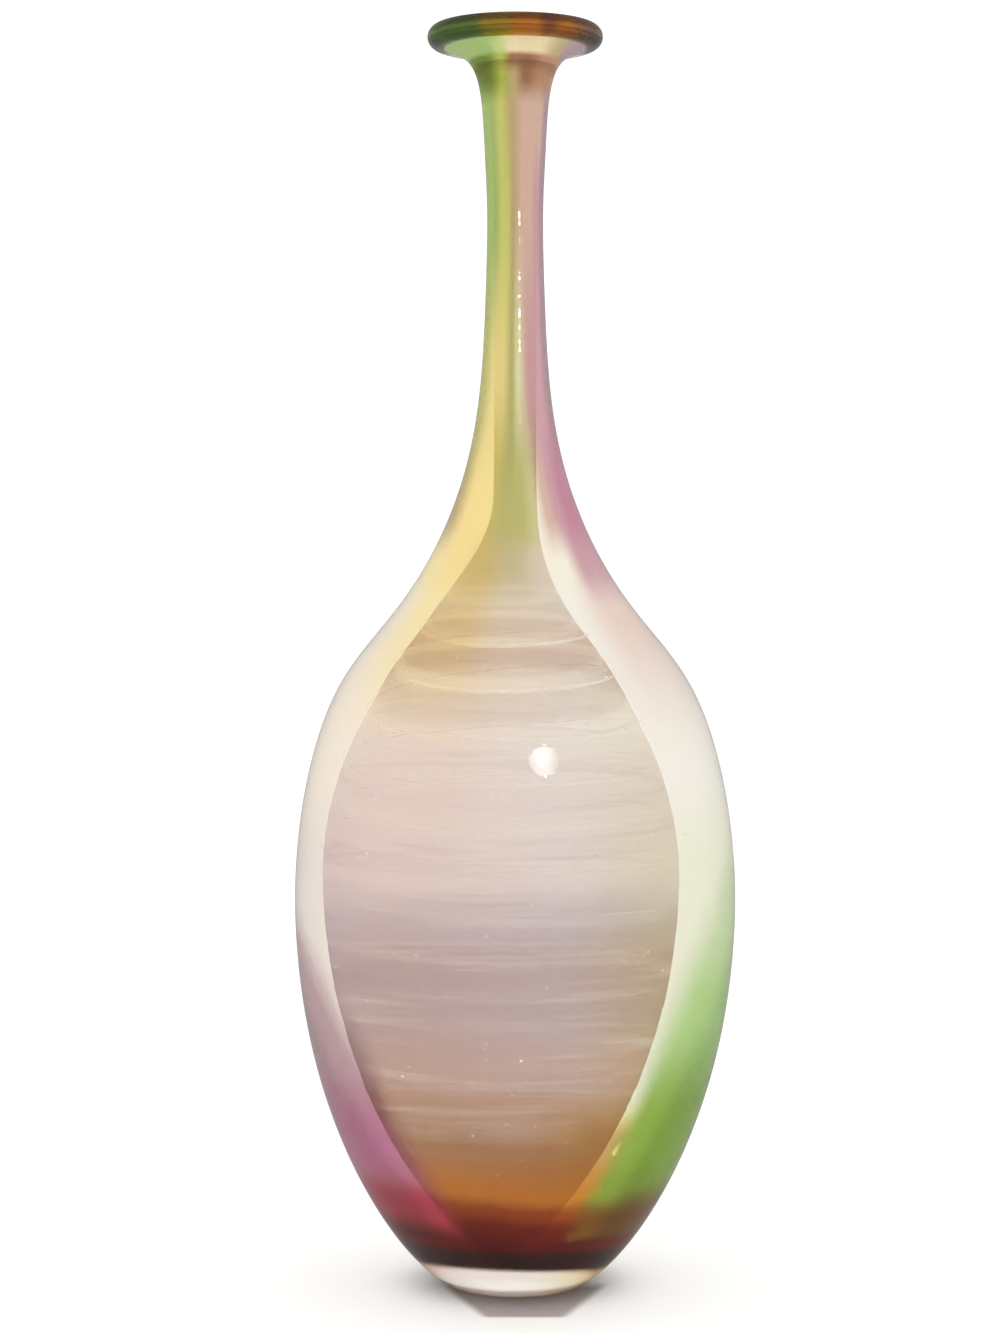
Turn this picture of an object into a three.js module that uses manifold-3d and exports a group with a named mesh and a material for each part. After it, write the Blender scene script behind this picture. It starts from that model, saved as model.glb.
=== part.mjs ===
// A heavy bottle vase in blown glass, in millimetres, +Z up, standing on its ground foot at the origin.
// It is built as it is blown: a thin smoky liner round the bubble, an opal thread wound on the liner,
// a thick clear core, a thin layer of coloured glasses over the core, and a clear casing over them all.

import * as THREE from "three";
import { mergeVertices } from "three/addons/utils/BufferGeometryUtils.js";
import Module from "manifold-3d";

const wasm = await Module();
wasm.setup();

// Driving sizes of the outside
const height = 350;
const footRadius = 19.3;
const bodyRadius = 61.6;
const bodyHeight = 105.5; // height of the widest place
const neckRadius = 7.7; // at the waist of the neck
const neckSwell = 1.4; // what the neck gains from its waist to where it flares
const waistDrop = 50; // from the top down to the waist of the neck
const flareDrop = 22; // from the top down to where the neck starts to flare
const lipRadius = 24.3;
const lipThickness = 6.4;

// Glass thicknesses
const coreWall = 17.5; // clear glass between the colours and the thread
const casingWall = 6;
const casingFloor = 7; // clear glass under the colours
const casingNeckWall = 1;
const casingRimWall = 1.9; // clear glass round the edge of the lip
const casingLipWall = 2; // clear glass under the lip
const colourWall = 1;
const colourNeckWall = 0.6;
const linerWall = 1;
const linerNeckWall = 0.7;
const linerLipWall = 0.8;
const seam = 0.35; // left between two layers that are fused on the real vase

// The bubble inside
const bubbleHeight = 112; // height of its widest place
const bubbleFloor = 17; // height of its lowest point
const boreRadius = 3.2;
const boreDrop = 132; // from the top down to where the bubble has narrowed to the bore
const mouthDrop = 26; // from the top down to where the bore starts to open
const bubbleDrift = 2.8; // how far the bubble sits to the left of the foot's axis
const driftFade = 40; // height over which the bore comes back to the axis

// The opal thread
const threadRadius = 0.3;
const threadSpace = 2.4; // between liner and core at the widest place
const threadTurns = 11;

// Where the colours meet
const rubyHeight = 19; // top of the red, over the foot
const amberHeight = 44; // top of the amber
const violetFootRadius = 15; // distance of the violet and the green from the axis at the red's edge
const greenFootRadius = 13;

// Shares, chosen by hand
const threadStartShare = 0.45; // of the way from the bubble's floor to its widest place
const threadEndShare = 0.64; // of the way from there to the start of the bore
const violetTipShare = 0.957; // of the height of the body's widest place
// These are shares of the way from the body's widest place up to the waist of the neck.
const greenTipShare = 0.116;
const lilacTipShare = 0.311;
const yellowTipShare = 0.342;
const shoulderPointShare = 0.506; // where the yellow, the lilac and the belt meet
const neckSeamShare = 0.712;
const outerFullnessShare = 0.74; // 0.5 gives an ellipse, more a leaner foot
const layerFullnessShare = 0.42;
const bubbleFullnessShare = 0.5;
const flareShares = [[0.1, 0.67], [0.23, 0.97]]; // controls of the flare, across and up
const flankBendShares = [0.62, 0.36]; // control of a flank seam, across and up
const shoulderBendShares = [0.22, 0.2]; // control of a shoulder seam, across and up
// How much of the swelling is left at each share of the way from the widest place to the waist
const shoulderShares = [
  [0, 1], [0.11, 0.977], [0.19, 0.93], [0.25, 0.872], [0.3, 0.804], [0.35, 0.703], [0.4, 0.548],
  [0.45, 0.405], [0.52, 0.258], [0.59, 0.153], [0.66, 0.083], [0.74, 0.038], [0.85, 0.013], [1, 0],
];
const bubbleShares = [
  [0, 1], [0.14, 0.984], [0.28, 0.925], [0.4, 0.818], [0.52, 0.65],
  [0.64, 0.44], [0.76, 0.25], [0.88, 0.083], [1, 0],
];

// How finely the surfaces are divided
const segments = 28;
const floorRows = 6;
const flareRows = 4;
const rimRows = 5;
const seamSteps = 6;
const threadSteps = 24;
const threadSides = 6;

const waist = height - waistDrop;
const boreStart = height - boreDrop;
const upShoulder = (share) => bodyHeight + (waist - bodyHeight) * share;
const neckSeam = upShoulder(neckSeamShare);
const shoulderPoint = upShoulder(shoulderPointShare);
const bubbleRadius = bodyRadius - casingWall - colourWall - coreWall - threadSpace - linerWall - 2 * seam;
const quarterTurn = Math.PI / 2;
const fullTurn = 2 * Math.PI;
const overrun = 5; // how far a cutter passes what it cuts
const flareStart = height - flareDrop;
const rimRadius = lipThickness / 2;
const rimCentre = new THREE.Vector2(lipRadius - rimRadius, height - rimRadius);
const tipRadius = lipRadius - casingRimWall; // where the inner layers end in the lip
const tipRise = Math.sqrt(rimRadius ** 2 - (tipRadius - rimCentre.x) ** 2);
const lipTop = rimCentre.y + tipRise;
const lipUnder = height - lipThickness;

// Each face of a layer is one of these: the outside of the vase, or a face that lies inside it.
const outside = {
  foot: footRadius,
  floor: 0,
  body: bodyRadius,
  neck: neckRadius,
  widest: bodyHeight,
  waist,
  flareStart,
  swell: neckSwell,
  tip: rimCentre.x,
  tipHeight: lipUnder,
  fullness: outerFullnessShare,
  shares: shoulderShares,
};
const casingInside = {
  ...outside,
  foot: 0,
  floor: casingFloor,
  body: bodyRadius - casingWall,
  neck: neckRadius - casingNeckWall,
  tip: tipRadius,
  tipHeight: lipUnder + casingLipWall,
  fullness: layerFullnessShare,
};
const bubbleFace = {
  foot: 0,
  floor: bubbleFloor,
  body: bubbleRadius,
  neck: boreRadius,
  widest: bubbleHeight,
  waist: boreStart,
  flareStart: height - mouthDrop,
  swell: 0,
  tip: tipRadius - seam,
  tipHeight: lipTop,
  fullness: bubbleFullnessShare,
  shares: bubbleShares,
};

// A face further in from the outside of the vase
function inset(face, wall, neckWall = wall, lipWall = wall, rim = 0) {
  return {
    ...face,
    floor: face.floor + wall,
    body: face.body - wall,
    neck: face.neck - neckWall,
    tip: face.tip - rim,
    tipHeight: face.tipHeight + lipWall,
  };
}

// The value of a table at a share of its way, on a smooth curve through its rows
function alongTable(rows, share) {
  const last = rows.length - 1;
  let i = rows.findIndex((row) => row[0] >= share);
  i = Math.min(Math.max(i === -1 ? last : i, 1), last);
  const slope = (k) => {
    const low = rows[Math.max(k - 1, 0)];
    const high = rows[Math.min(k + 1, last)];
    return k === 0 || k === last ? 0 : (high[1] - low[1]) / (high[0] - low[0]);
  };
  const width = rows[i][0] - rows[i - 1][0];
  const t = Math.min((share - rows[i - 1][0]) / width, 1);
  const rise = t * t * (3 - 2 * t);
  return (
    rows[i - 1][1] * (1 - rise) +
    rows[i][1] * rise +
    width * t * (1 - t) * ((1 - t) * slope(i - 1) - t * slope(i))
  );
}

function radiusAbove(face, z) {
  const share = Math.min((z - face.widest) / (face.waist - face.widest), 1);
  return face.neck + (face.body - face.neck) * alongTable(face.shares, share);
}

function radiusBelow(face, z) {
  const rise = (z - face.floor) / (face.widest - face.floor);
  return face.foot + (face.body - face.foot) * (1 - (1 - rise) ** 2) ** face.fullness;
}

// The outline of a face from its lowest point up to its tip in the lip, as points (radius, height)
function outline(face) {
  const points = [];
  for (let i = 0; i <= floorRows; i++) {
    const angle = (i / floorRows) * quarterTurn;
    const swell = Math.sin(angle) ** (2 * face.fullness);
    const z = face.floor + (face.widest - face.floor) * (1 - Math.cos(angle));
    points.push(new THREE.Vector2(face.foot + (face.body - face.foot) * swell, z));
  }
  for (const [share] of face.shares.slice(1)) {
    const z = face.widest + (face.waist - face.widest) * share;
    points.push(new THREE.Vector2(radiusAbove(face, z), z));
  }
  const from = new THREE.Vector2(face.neck + face.swell, face.flareStart);
  const to = new THREE.Vector2(face.tip, face.tipHeight);
  const control = ([across, up]) =>
    new THREE.Vector2(from.x + (to.x - from.x) * across, from.y + (to.y - from.y) * up);
  const flare = new THREE.CubicBezierCurve(from, ...flareShares.map(control), to);
  return points.concat(flare.getPoints(flareRows));
}

// The way round the edge of the lip, from under it to the edge of the inner layers on top
function rimOutline() {
  const end = Math.atan2(tipRise, tipRadius - rimCentre.x);
  const points = [];
  for (let i = 1; i <= rimRows; i++) {
    const angle = -quarterTurn + ((end + quarterTurn) * i) / rimRows;
    const spoke = new THREE.Vector2(Math.cos(angle), Math.sin(angle));
    points.push(rimCentre.clone().addScaledVector(spoke, rimRadius));
  }
  return points;
}

// How far the bubble is off the axis at a height
function drift(z) {
  return bubbleDrift * THREE.MathUtils.smoothstep(boreStart - z, 0, driftFade);
}

// Turns the ring between two outlines, outer and inner, each marked if it follows the bubble
function turned(outer, inner, outerDrifts = false, innerDrifts = false) {
  const points = [...outer, ...inner.toReversed()];
  if (points[0].x > 0) points.unshift(new THREE.Vector2(0, points[0].y));
  const drifts = points.map((_, i) => (i < points.length - inner.length ? outerDrifts : innerDrifts));
  const geometry = new THREE.LatheGeometry(points, segments);
  const place = geometry.getAttribute("position");
  for (let i = 0; i < place.count; i++) {
    const index = i % points.length;
    // three.js turns a profile about Y, so this lays its axis along Z
    const [x, z, y] = [place.getX(i), place.getY(i), -place.getZ(i)];
    place.setXYZ(i, drifts[index] ? x - drift(z) : x, y, z);
  }
  return geometry;
}

function solid(geometry) {
  const bare = geometry.index ? geometry.toNonIndexed() : geometry.clone();
  bare.deleteAttribute("normal");
  bare.deleteAttribute("uv");
  const merged = mergeVertices(bare);
  const vertProperties = merged.getAttribute("position").array;
  const triVerts = new Uint32Array(merged.index.array);
  return new wasm.Manifold(new wasm.Mesh({ numProp: 3, vertProperties, triVerts }));
}

function geometryOf(manifold) {
  const { vertProperties, triVerts } = manifold.getMesh();
  const geometry = new THREE.BufferGeometry();
  geometry.setAttribute("position", new THREE.BufferAttribute(vertProperties, 3));
  geometry.setIndex(new THREE.BufferAttribute(triVerts, 1));
  return geometry;
}

// A prism from a shape seen from the front, from one depth to another
function prism(shape, near = -bodyRadius - overrun, far = bodyRadius + overrun) {
  const geometry = new THREE.ExtrudeGeometry(shape, { depth: far - near, bevelEnabled: false });
  geometry.rotateX(quarterTurn);
  geometry.translate(0, far, 0);
  return solid(geometry);
}

const reach = bodyRadius + overrun;
const point = (x, z) => new THREE.Vector2(x, z);
const rectangle = (left, right, low, high) =>
  new THREE.Shape([point(left, low), point(right, low), point(right, high), point(left, high)]);

// A curve from one point to another, bent towards a place given by shares across and up
function bent(from, to, [across, up]) {
  const control = point(from.x + (to.x - from.x) * across, from.y + (to.y - from.y) * up);
  return new THREE.QuadraticBezierCurve(from, control, to).getPoints(seamSteps);
}

// The thin gap that follows a seam
function kerf(points) {
  const sides = [1, -1].map((side) =>
    points.map((p, i) => {
      const before = points[Math.max(i - 1, 0)];
      const after = points[Math.min(i + 1, points.length - 1)];
      const along = after.clone().sub(before).normalize();
      return p.clone().add(point(-along.y, along.x).multiplyScalar((side * seam) / 2));
    }),
  );
  return prism(new THREE.Shape([...sides[0], ...sides[1].reverse()]));
}

// The seams of the colour layer, seen from the front
const seamFoot = rubyHeight - seam;
const violetTip = point(-reach, bodyHeight * violetTipShare);
const greenTip = point(reach, upShoulder(greenTipShare));
const yellowTip = point(-reach, upShoulder(yellowTipShare));
const lilacTip = point(reach, upShoulder(lilacTipShare));
const violetSeam = bent(point(-violetFootRadius, seamFoot), violetTip, flankBendShares);
const greenSeam = bent(point(greenFootRadius, seamFoot), greenTip, flankBendShares);
const yellowSeam = bent(point(0, shoulderPoint), yellowTip, shoulderBendShares);
const lilacSeam = bent(point(0, shoulderPoint), lilacTip, shoulderBendShares);
const level = (z) => [point(-reach, z), point(reach, z)];
const neckSplit = [point(0, shoulderPoint - seam), point(0, height + overrun)];

// The colour layer, cut along its seams into one piece for each colour
function colourPieces() {
  const face = inset(casingInside, seam, seam, seam, seam);
  const back = inset(face, colourWall, colourNeckWall);
  const flankSeams = [level(rubyHeight), violetSeam, greenSeam];
  const shoulderSeams = [yellowSeam, lilacSeam, level(neckSeam), neckSplit];
  const kerfs = [...flankSeams, ...shoulderSeams].map(kerf);
  const uncut = solid(turned(outline(face), outline(back)));
  const layer = kerfs.reduce((rest, gap) => rest.subtract(gap), uncut);

  const below = prism(rectangle(-reach, reach, -overrun, rubyHeight));
  const violetZone = prism(new THREE.Shape([...violetSeam, point(-reach, seamFoot)]));
  const greenZone = prism(new THREE.Shape([...greenSeam, point(reach, seamFoot)]));
  const flameZone = prism(rectangle(-reach, reach, rubyHeight, amberHeight));
  const amberZone = flameZone.subtract(violetZone).subtract(greenZone);
  const amberGap = kerf(level(amberHeight));
  const top = height + overrun;
  const leftNeck = prism(rectangle(-reach, 0, neckSeam, top));
  const rightNeck = prism(rectangle(0, reach, neckSeam, top));
  const leftShoulder = prism(new THREE.Shape([...yellowSeam, point(-reach, neckSeam), point(0, neckSeam)]));
  const rightShoulder = prism(new THREE.Shape([...lilacSeam, point(reach, neckSeam), point(0, neckSeam)]));
  const front = prism(rectangle(-reach, reach, -overrun, top), -reach, 0);

  const amber = layer.intersect(amberZone).subtract(amberGap);
  const zones = [below, violetZone, greenZone, amberZone, leftNeck, rightNeck, leftShoulder, rightShoulder];
  return {
    ruby_base_cup: layer.intersect(below),
    violet_flank_band: layer.intersect(violetZone).subtract(below),
    green_flank_band: layer.intersect(greenZone).subtract(below),
    amber_flame_front: amber.intersect(front),
    amber_flame_back: amber.subtract(front),
    pale_belt: zones.reduce((rest, zone) => rest.subtract(zone), layer).subtract(amberGap),
    yellow_shoulder_band: layer.intersect(leftShoulder),
    lilac_shoulder_band: layer.intersect(rightShoulder),
    green_neck_band: layer.intersect(leftNeck),
    rose_neck_band: layer.intersect(rightNeck),
  };
}

const linerOutside = inset(bubbleFace, -linerWall, -linerNeckWall, -linerLipWall);
const coreInside = {
  ...inset(linerOutside, -seam),
  body: linerOutside.body + threadSpace,
};

function casing() {
  return turned([...outline(outside), ...rimOutline()], outline(casingInside));
}

function core() {
  const colourFace = inset(casingInside, seam, seam, seam, seam);
  const colourBack = inset(colourFace, colourWall, colourNeckWall);
  return turned(outline(inset(colourBack, seam)), outline(coreInside), false, true);
}

function liner() {
  return turned(outline(linerOutside), outline(bubbleFace), true, true);
}

// The thread is one tube that winds up the liner. Its middle line lies halfway across its space.
function threadPoint(share) {
  const start = bubbleFloor + (bubbleHeight - bubbleFloor) * threadStartShare;
  const end = bubbleHeight + (boreStart - bubbleHeight) * threadEndShare;
  const z = start + (end - start) * share;
  const radius = z < bubbleHeight ? radiusBelow : radiusAbove;
  const middle = (radius(linerOutside, z) + radius(coreInside, z)) / 2;
  const angle = fullTurn * threadTurns * share;
  return new THREE.Vector3(middle * Math.cos(angle) - drift(z), middle * Math.sin(angle), z);
}

function thread() {
  const steps = threadTurns * threadSteps;
  const middle = Array.from({ length: steps + 1 }, (_, i) => threadPoint(i / steps));
  const rings = middle.map((centre, i) => {
    const before = middle[Math.max(i - 1, 0)];
    const after = middle[Math.min(i + 1, steps)];
    const along = after.clone().sub(before).normalize();
    const across = new THREE.Vector3(0, 0, 1).cross(along).normalize();
    const up = along.clone().cross(across);
    return Array.from({ length: threadSides }, (_, side) => {
      const angle = (fullTurn * side) / threadSides;
      return centre
        .clone()
        .addScaledVector(across, threadRadius * Math.cos(angle))
        .addScaledVector(up, threadRadius * Math.sin(angle));
    });
  });
  const corners = [middle[0], ...rings.flat(), middle[steps]];
  const last = corners.length - 1;
  const faces = [];
  for (let side = 0; side < threadSides; side++) {
    const next = (side + 1) % threadSides;
    faces.push(0, 1 + next, 1 + side);
    faces.push(last, last - threadSides + side, last - threadSides + next);
    for (let i = 0; i < steps; i++) {
      const low = 1 + i * threadSides;
      const high = low + threadSides;
      faces.push(low + side, low + next, high + next, low + side, high + next, high + side);
    }
  }
  console.log(`opal_thread: least gap to itself ${leastGap(middle).toFixed(2)} mm`);
  const geometry = new THREE.BufferGeometry().setFromPoints(corners);
  geometry.setIndex(faces);
  return geometry;
}

// The least clear distance between two turns of the thread
function leastGap(middle) {
  const apart = threadSteps / 2;
  let least = Infinity;
  middle.forEach((place, i) => {
    for (const other of middle.slice(i + apart)) least = Math.min(least, place.distanceTo(other));
  });
  return least - 2 * threadRadius;
}

function glass(colour, opacity) {
  return new THREE.MeshStandardMaterial({
    color: colour,
    roughness: 0.05,
    metalness: 0,
    transparent: true,
    opacity,
  });
}

const clear = { colour: 0xf2efe4, opacity: 0.2 };
const finishes = {
  clear_casing: clear,
  core_gather: clear,
  smoke_liner: { colour: 0xcdbfae, opacity: 0.45 },
  opal_thread: { colour: 0xf5eadf, opacity: 0.9 },
  ruby_base_cup: { colour: 0x7a1418, opacity: 0.75 },
  violet_flank_band: { colour: 0xa8639b, opacity: 0.5 },
  green_flank_band: { colour: 0x6fb04f, opacity: 0.5 },
  amber_flame_front: { colour: 0xbf6c1e, opacity: 0.55 },
  amber_flame_back: { colour: 0xbf6c1e, opacity: 0.55 },
  pale_belt: { colour: 0xfbeedd, opacity: 0.25 },
  yellow_shoulder_band: { colour: 0xe9cf72, opacity: 0.5 },
  lilac_shoulder_band: { colour: 0xc08bab, opacity: 0.5 },
  green_neck_band: { colour: 0x7fa63c, opacity: 0.55 },
  rose_neck_band: { colour: 0xc69a86, opacity: 0.5 },
};

const vase = new THREE.Group();
const geometries = {
  clear_casing: casing(),
  core_gather: core(),
  smoke_liner: liner(),
  opal_thread: thread(),
};
for (const [name, piece] of Object.entries(colourPieces())) geometries[name] = geometryOf(piece);
for (const [name, { colour, opacity }] of Object.entries(finishes)) {
  const mesh = new THREE.Mesh(geometries[name], glass(colour, opacity));
  mesh.name = name;
  vase.add(mesh);
}

export default vase;
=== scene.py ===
import math
from dataclasses import dataclass, replace

import bpy
import numpy as np
from bpy.props import FloatProperty, FloatVectorProperty, IntProperty, PointerProperty
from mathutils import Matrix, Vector


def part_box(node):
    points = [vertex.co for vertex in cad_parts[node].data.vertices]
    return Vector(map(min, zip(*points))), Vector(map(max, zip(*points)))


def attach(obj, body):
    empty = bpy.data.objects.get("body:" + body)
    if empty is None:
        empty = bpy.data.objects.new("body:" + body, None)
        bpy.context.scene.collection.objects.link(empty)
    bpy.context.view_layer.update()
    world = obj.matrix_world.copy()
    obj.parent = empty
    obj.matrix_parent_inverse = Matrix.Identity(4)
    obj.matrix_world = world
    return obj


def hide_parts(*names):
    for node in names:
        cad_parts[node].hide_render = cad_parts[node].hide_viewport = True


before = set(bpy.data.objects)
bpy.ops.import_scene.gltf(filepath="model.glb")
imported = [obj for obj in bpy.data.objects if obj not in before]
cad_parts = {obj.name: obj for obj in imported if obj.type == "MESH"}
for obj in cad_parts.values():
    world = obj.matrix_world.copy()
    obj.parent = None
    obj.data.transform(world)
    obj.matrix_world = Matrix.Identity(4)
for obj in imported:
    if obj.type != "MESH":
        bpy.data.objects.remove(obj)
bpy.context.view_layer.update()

bl_info = {
    "name": "Cased Glass Bottle Vase",
    "version": (1, 0, 0),
    "blender": (4, 5, 0),
    "location": "3D View > Sidebar > Vase",
    "description": "Builds a blown bottle vase from its layers of clear and coloured glass",
    "category": "Add Mesh",
}

MM = 0.001
CASING_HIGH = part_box("clear_casing")[1]

# Shares: how much of the swelling is left on the way from the widest place up to the neck
SHOULDER_SHARES = (
    (0, 1), (0.11, 0.977), (0.19, 0.93), (0.25, 0.872), (0.3, 0.804), (0.35, 0.703), (0.4, 0.548),
    (0.45, 0.405), (0.52, 0.258), (0.59, 0.153), (0.66, 0.083), (0.74, 0.038), (0.85, 0.013), (1, 0),
)
BUBBLE_SHARES = (
    (0, 1), (0.14, 0.967), (0.26, 0.88), (0.35, 0.772), (0.45, 0.61),
    (0.56, 0.42), (0.69, 0.243), (0.79, 0.126), (0.88, 0.046), (1, 0),
)
FLARE_SHARES = ((0.1, 0.67), (0.23, 0.97))
VIOLET_BEND_SHARES = (0.43, 0.37)
GREEN_BEND_SHARES = (0.47, 0.36)
SHOULDER_BEND_SHARES = (0.22, 0.2)
OUTER_FULLNESS_SHARE = 0.74
LAYER_FULLNESS_SHARE = 0.42
BUBBLE_FULLNESS_SHARE = 0.85
THREAD_START_SHARE = 0.463
THREAD_END_SHARE = 0.651
VIOLET_TIP_SHARE = 0.04
GREEN_TIP_SHARE = 0.167
LILAC_TIP_SHARE = 0.311
YELLOW_TIP_SHARE = 0.342
SHOULDER_POINT_SHARE = 0.506
NECK_SEAM_SHARE = 0.712

# How finely the surfaces are divided
AROUND = 160
FLOOR_ROWS = 60
SHOULDER_ROWS = 150
FLARE_ROWS = 30
RIM_ROWS = 24
SMOOTHING_PASSES = 40
SEAM_STEPS = 400
THREAD_STEPS = 96
THREAD_SIDES = 8
SHARP_DEGREES = 35
FLANK_COLUMNS = 110
HALF_COLUMNS = 90
PATCH_ROWS = {
    "ruby_cup": 60, "violet_band": 60, "green_band": 70, "amber_flame_fronts": 40, "amber_flame_backs": 40,
    "belt": 140, "yellow_shoulder": 70, "lilac_shoulder": 70, "green_neck": 120, "rose_neck": 120,
}

# Small gaps: between the two halves and at a flank's end in radians, and at the axis in metres
SIDE_GAP = 0.0004
FLANK_GAP = 0.001
AXIS_GAP = 0.0001


def length(name, millimetres, description):
    """A size that a user can change, shown in the scene's unit of length."""
    return FloatProperty(
        name=name, description=description, default=millimetres * MM, min=0, unit="LENGTH", precision=5
    )


def colour(name, value, description):
    """A colour that a user can change."""
    return FloatVectorProperty(
        name=name, description=description, default=value, size=3, min=0, max=1, subtype="COLOR"
    )


class VaseShape(bpy.types.PropertyGroup):
    """Sizes of the vase's outside and of the bubble in it."""

    height: length("Height", CASING_HIGH.z / MM, "From the table to the top of the lip")
    foot_radius: length("Foot Radius", 19.3, "Radius of the flat that the vase stands on")
    body_radius: length("Body Radius", 61.6, "Radius at the widest place")
    body_height: length("Body Height", 105.5, "Height of the widest place")
    neck_radius: length("Neck Radius", 7.7, "Radius at the waist of the neck")
    neck_swell: length("Neck Swell", 1.4, "What the neck gains from its waist to where it flares")
    waist_drop: length("Waist Drop", 50, "From the top down to the waist of the neck")
    flare_drop: length("Flare Drop", 22, "From the top down to where the neck starts to flare")
    lip_radius: length("Lip Radius", 24.3, "Radius of the lip")
    lip_thickness: length("Lip Thickness", 6.4, "Thickness of the lip's rounded edge")
    bubble_height: length("Bubble Height", 112, "Height of the bubble's widest place")
    bubble_floor: length("Bubble Floor", 17, "Height of the bubble's lowest point")
    bore_radius: length("Bore Radius", 3.2, "Radius of the air bore in the neck")
    bore_drop: length("Bore Drop", 132, "From the top down to where the bubble has narrowed to the bore")
    mouth_drop: length("Mouth Drop", 26, "From the top down to where the bore starts to open")
    bubble_drift: length("Bubble Drift", 2.8, "How far the bubble sits to the left of the foot's axis")
    drift_fade: length("Drift Fade", 40, "Height over which the bore comes back to the axis")


class VaseLayers(bpy.types.PropertyGroup):
    """Thicknesses of the layers of glass, and where the colours meet."""

    core_wall: length("Core Wall", 18.2, "Clear glass between the colours and the thread")
    casing_wall: length("Casing Wall", 6, "Clear glass over the colours")
    casing_floor: length("Casing Floor", 7, "Clear glass under the colours")
    casing_neck_wall: length("Casing Neck Wall", 1, "Clear glass over the colours of the neck")
    casing_rim_wall: length("Casing Rim Wall", 1.9, "Clear glass round the edge of the lip")
    casing_lip_wall: length("Casing Lip Wall", 2, "Clear glass under the lip")
    colour_wall: length("Colour Wall", 1, "Thickness of the colours")
    colour_neck_wall: length("Colour Neck Wall", 0.6, "Thickness of the colours in the neck")
    liner_wall: length("Liner Wall", 1, "Thickness of the smoky liner")
    liner_neck_wall: length("Liner Neck Wall", 0.7, "Thickness of the liner in the neck")
    liner_lip_wall: length("Liner Lip Wall", 0.8, "Thickness of the liner on the lip")
    seam: length("Seam", 0.35, "Space that the packed model leaves between two layers")
    fused_seam: length("Fused Seam", 0.03, "Space that is left between two layers here")
    thread_radius: length("Thread Radius", 0.3, "Radius of the opal thread")
    thread_space: length("Thread Space", 2.4, "Between the liner and the core at the widest place")
    thread_turns: IntProperty(name="Thread Turns", description="Turns of the opal thread", default=11, min=1)
    seed_radius: length("Seed Radius", 0.35, "Largest radius of the tiny bubbles")
    seed_density: FloatProperty(
        name="Seed Density", description="Tiny bubbles to the square metre", default=1500
    )
    seeds_lowest: length("Seeds Lowest", 30, "Height from which there are tiny bubbles")
    seeds_highest: length("Seeds Highest", 170, "Height up to which there are tiny bubbles")
    seeds_least_lift: length("Seeds Least Lift", 1.5, "Least way of a tiny bubble from the liner")
    ruby_height: length("Ruby Height", 19, "Top of the red")
    amber_height: length("Amber Height", 44, "Top of the amber")
    violet_foot_radius: length("Violet Foot Radius", 12, "Where the violet starts, from the axis")
    green_foot_radius: length("Green Foot Radius", 13.3, "Where the green starts, from the axis")


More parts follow.
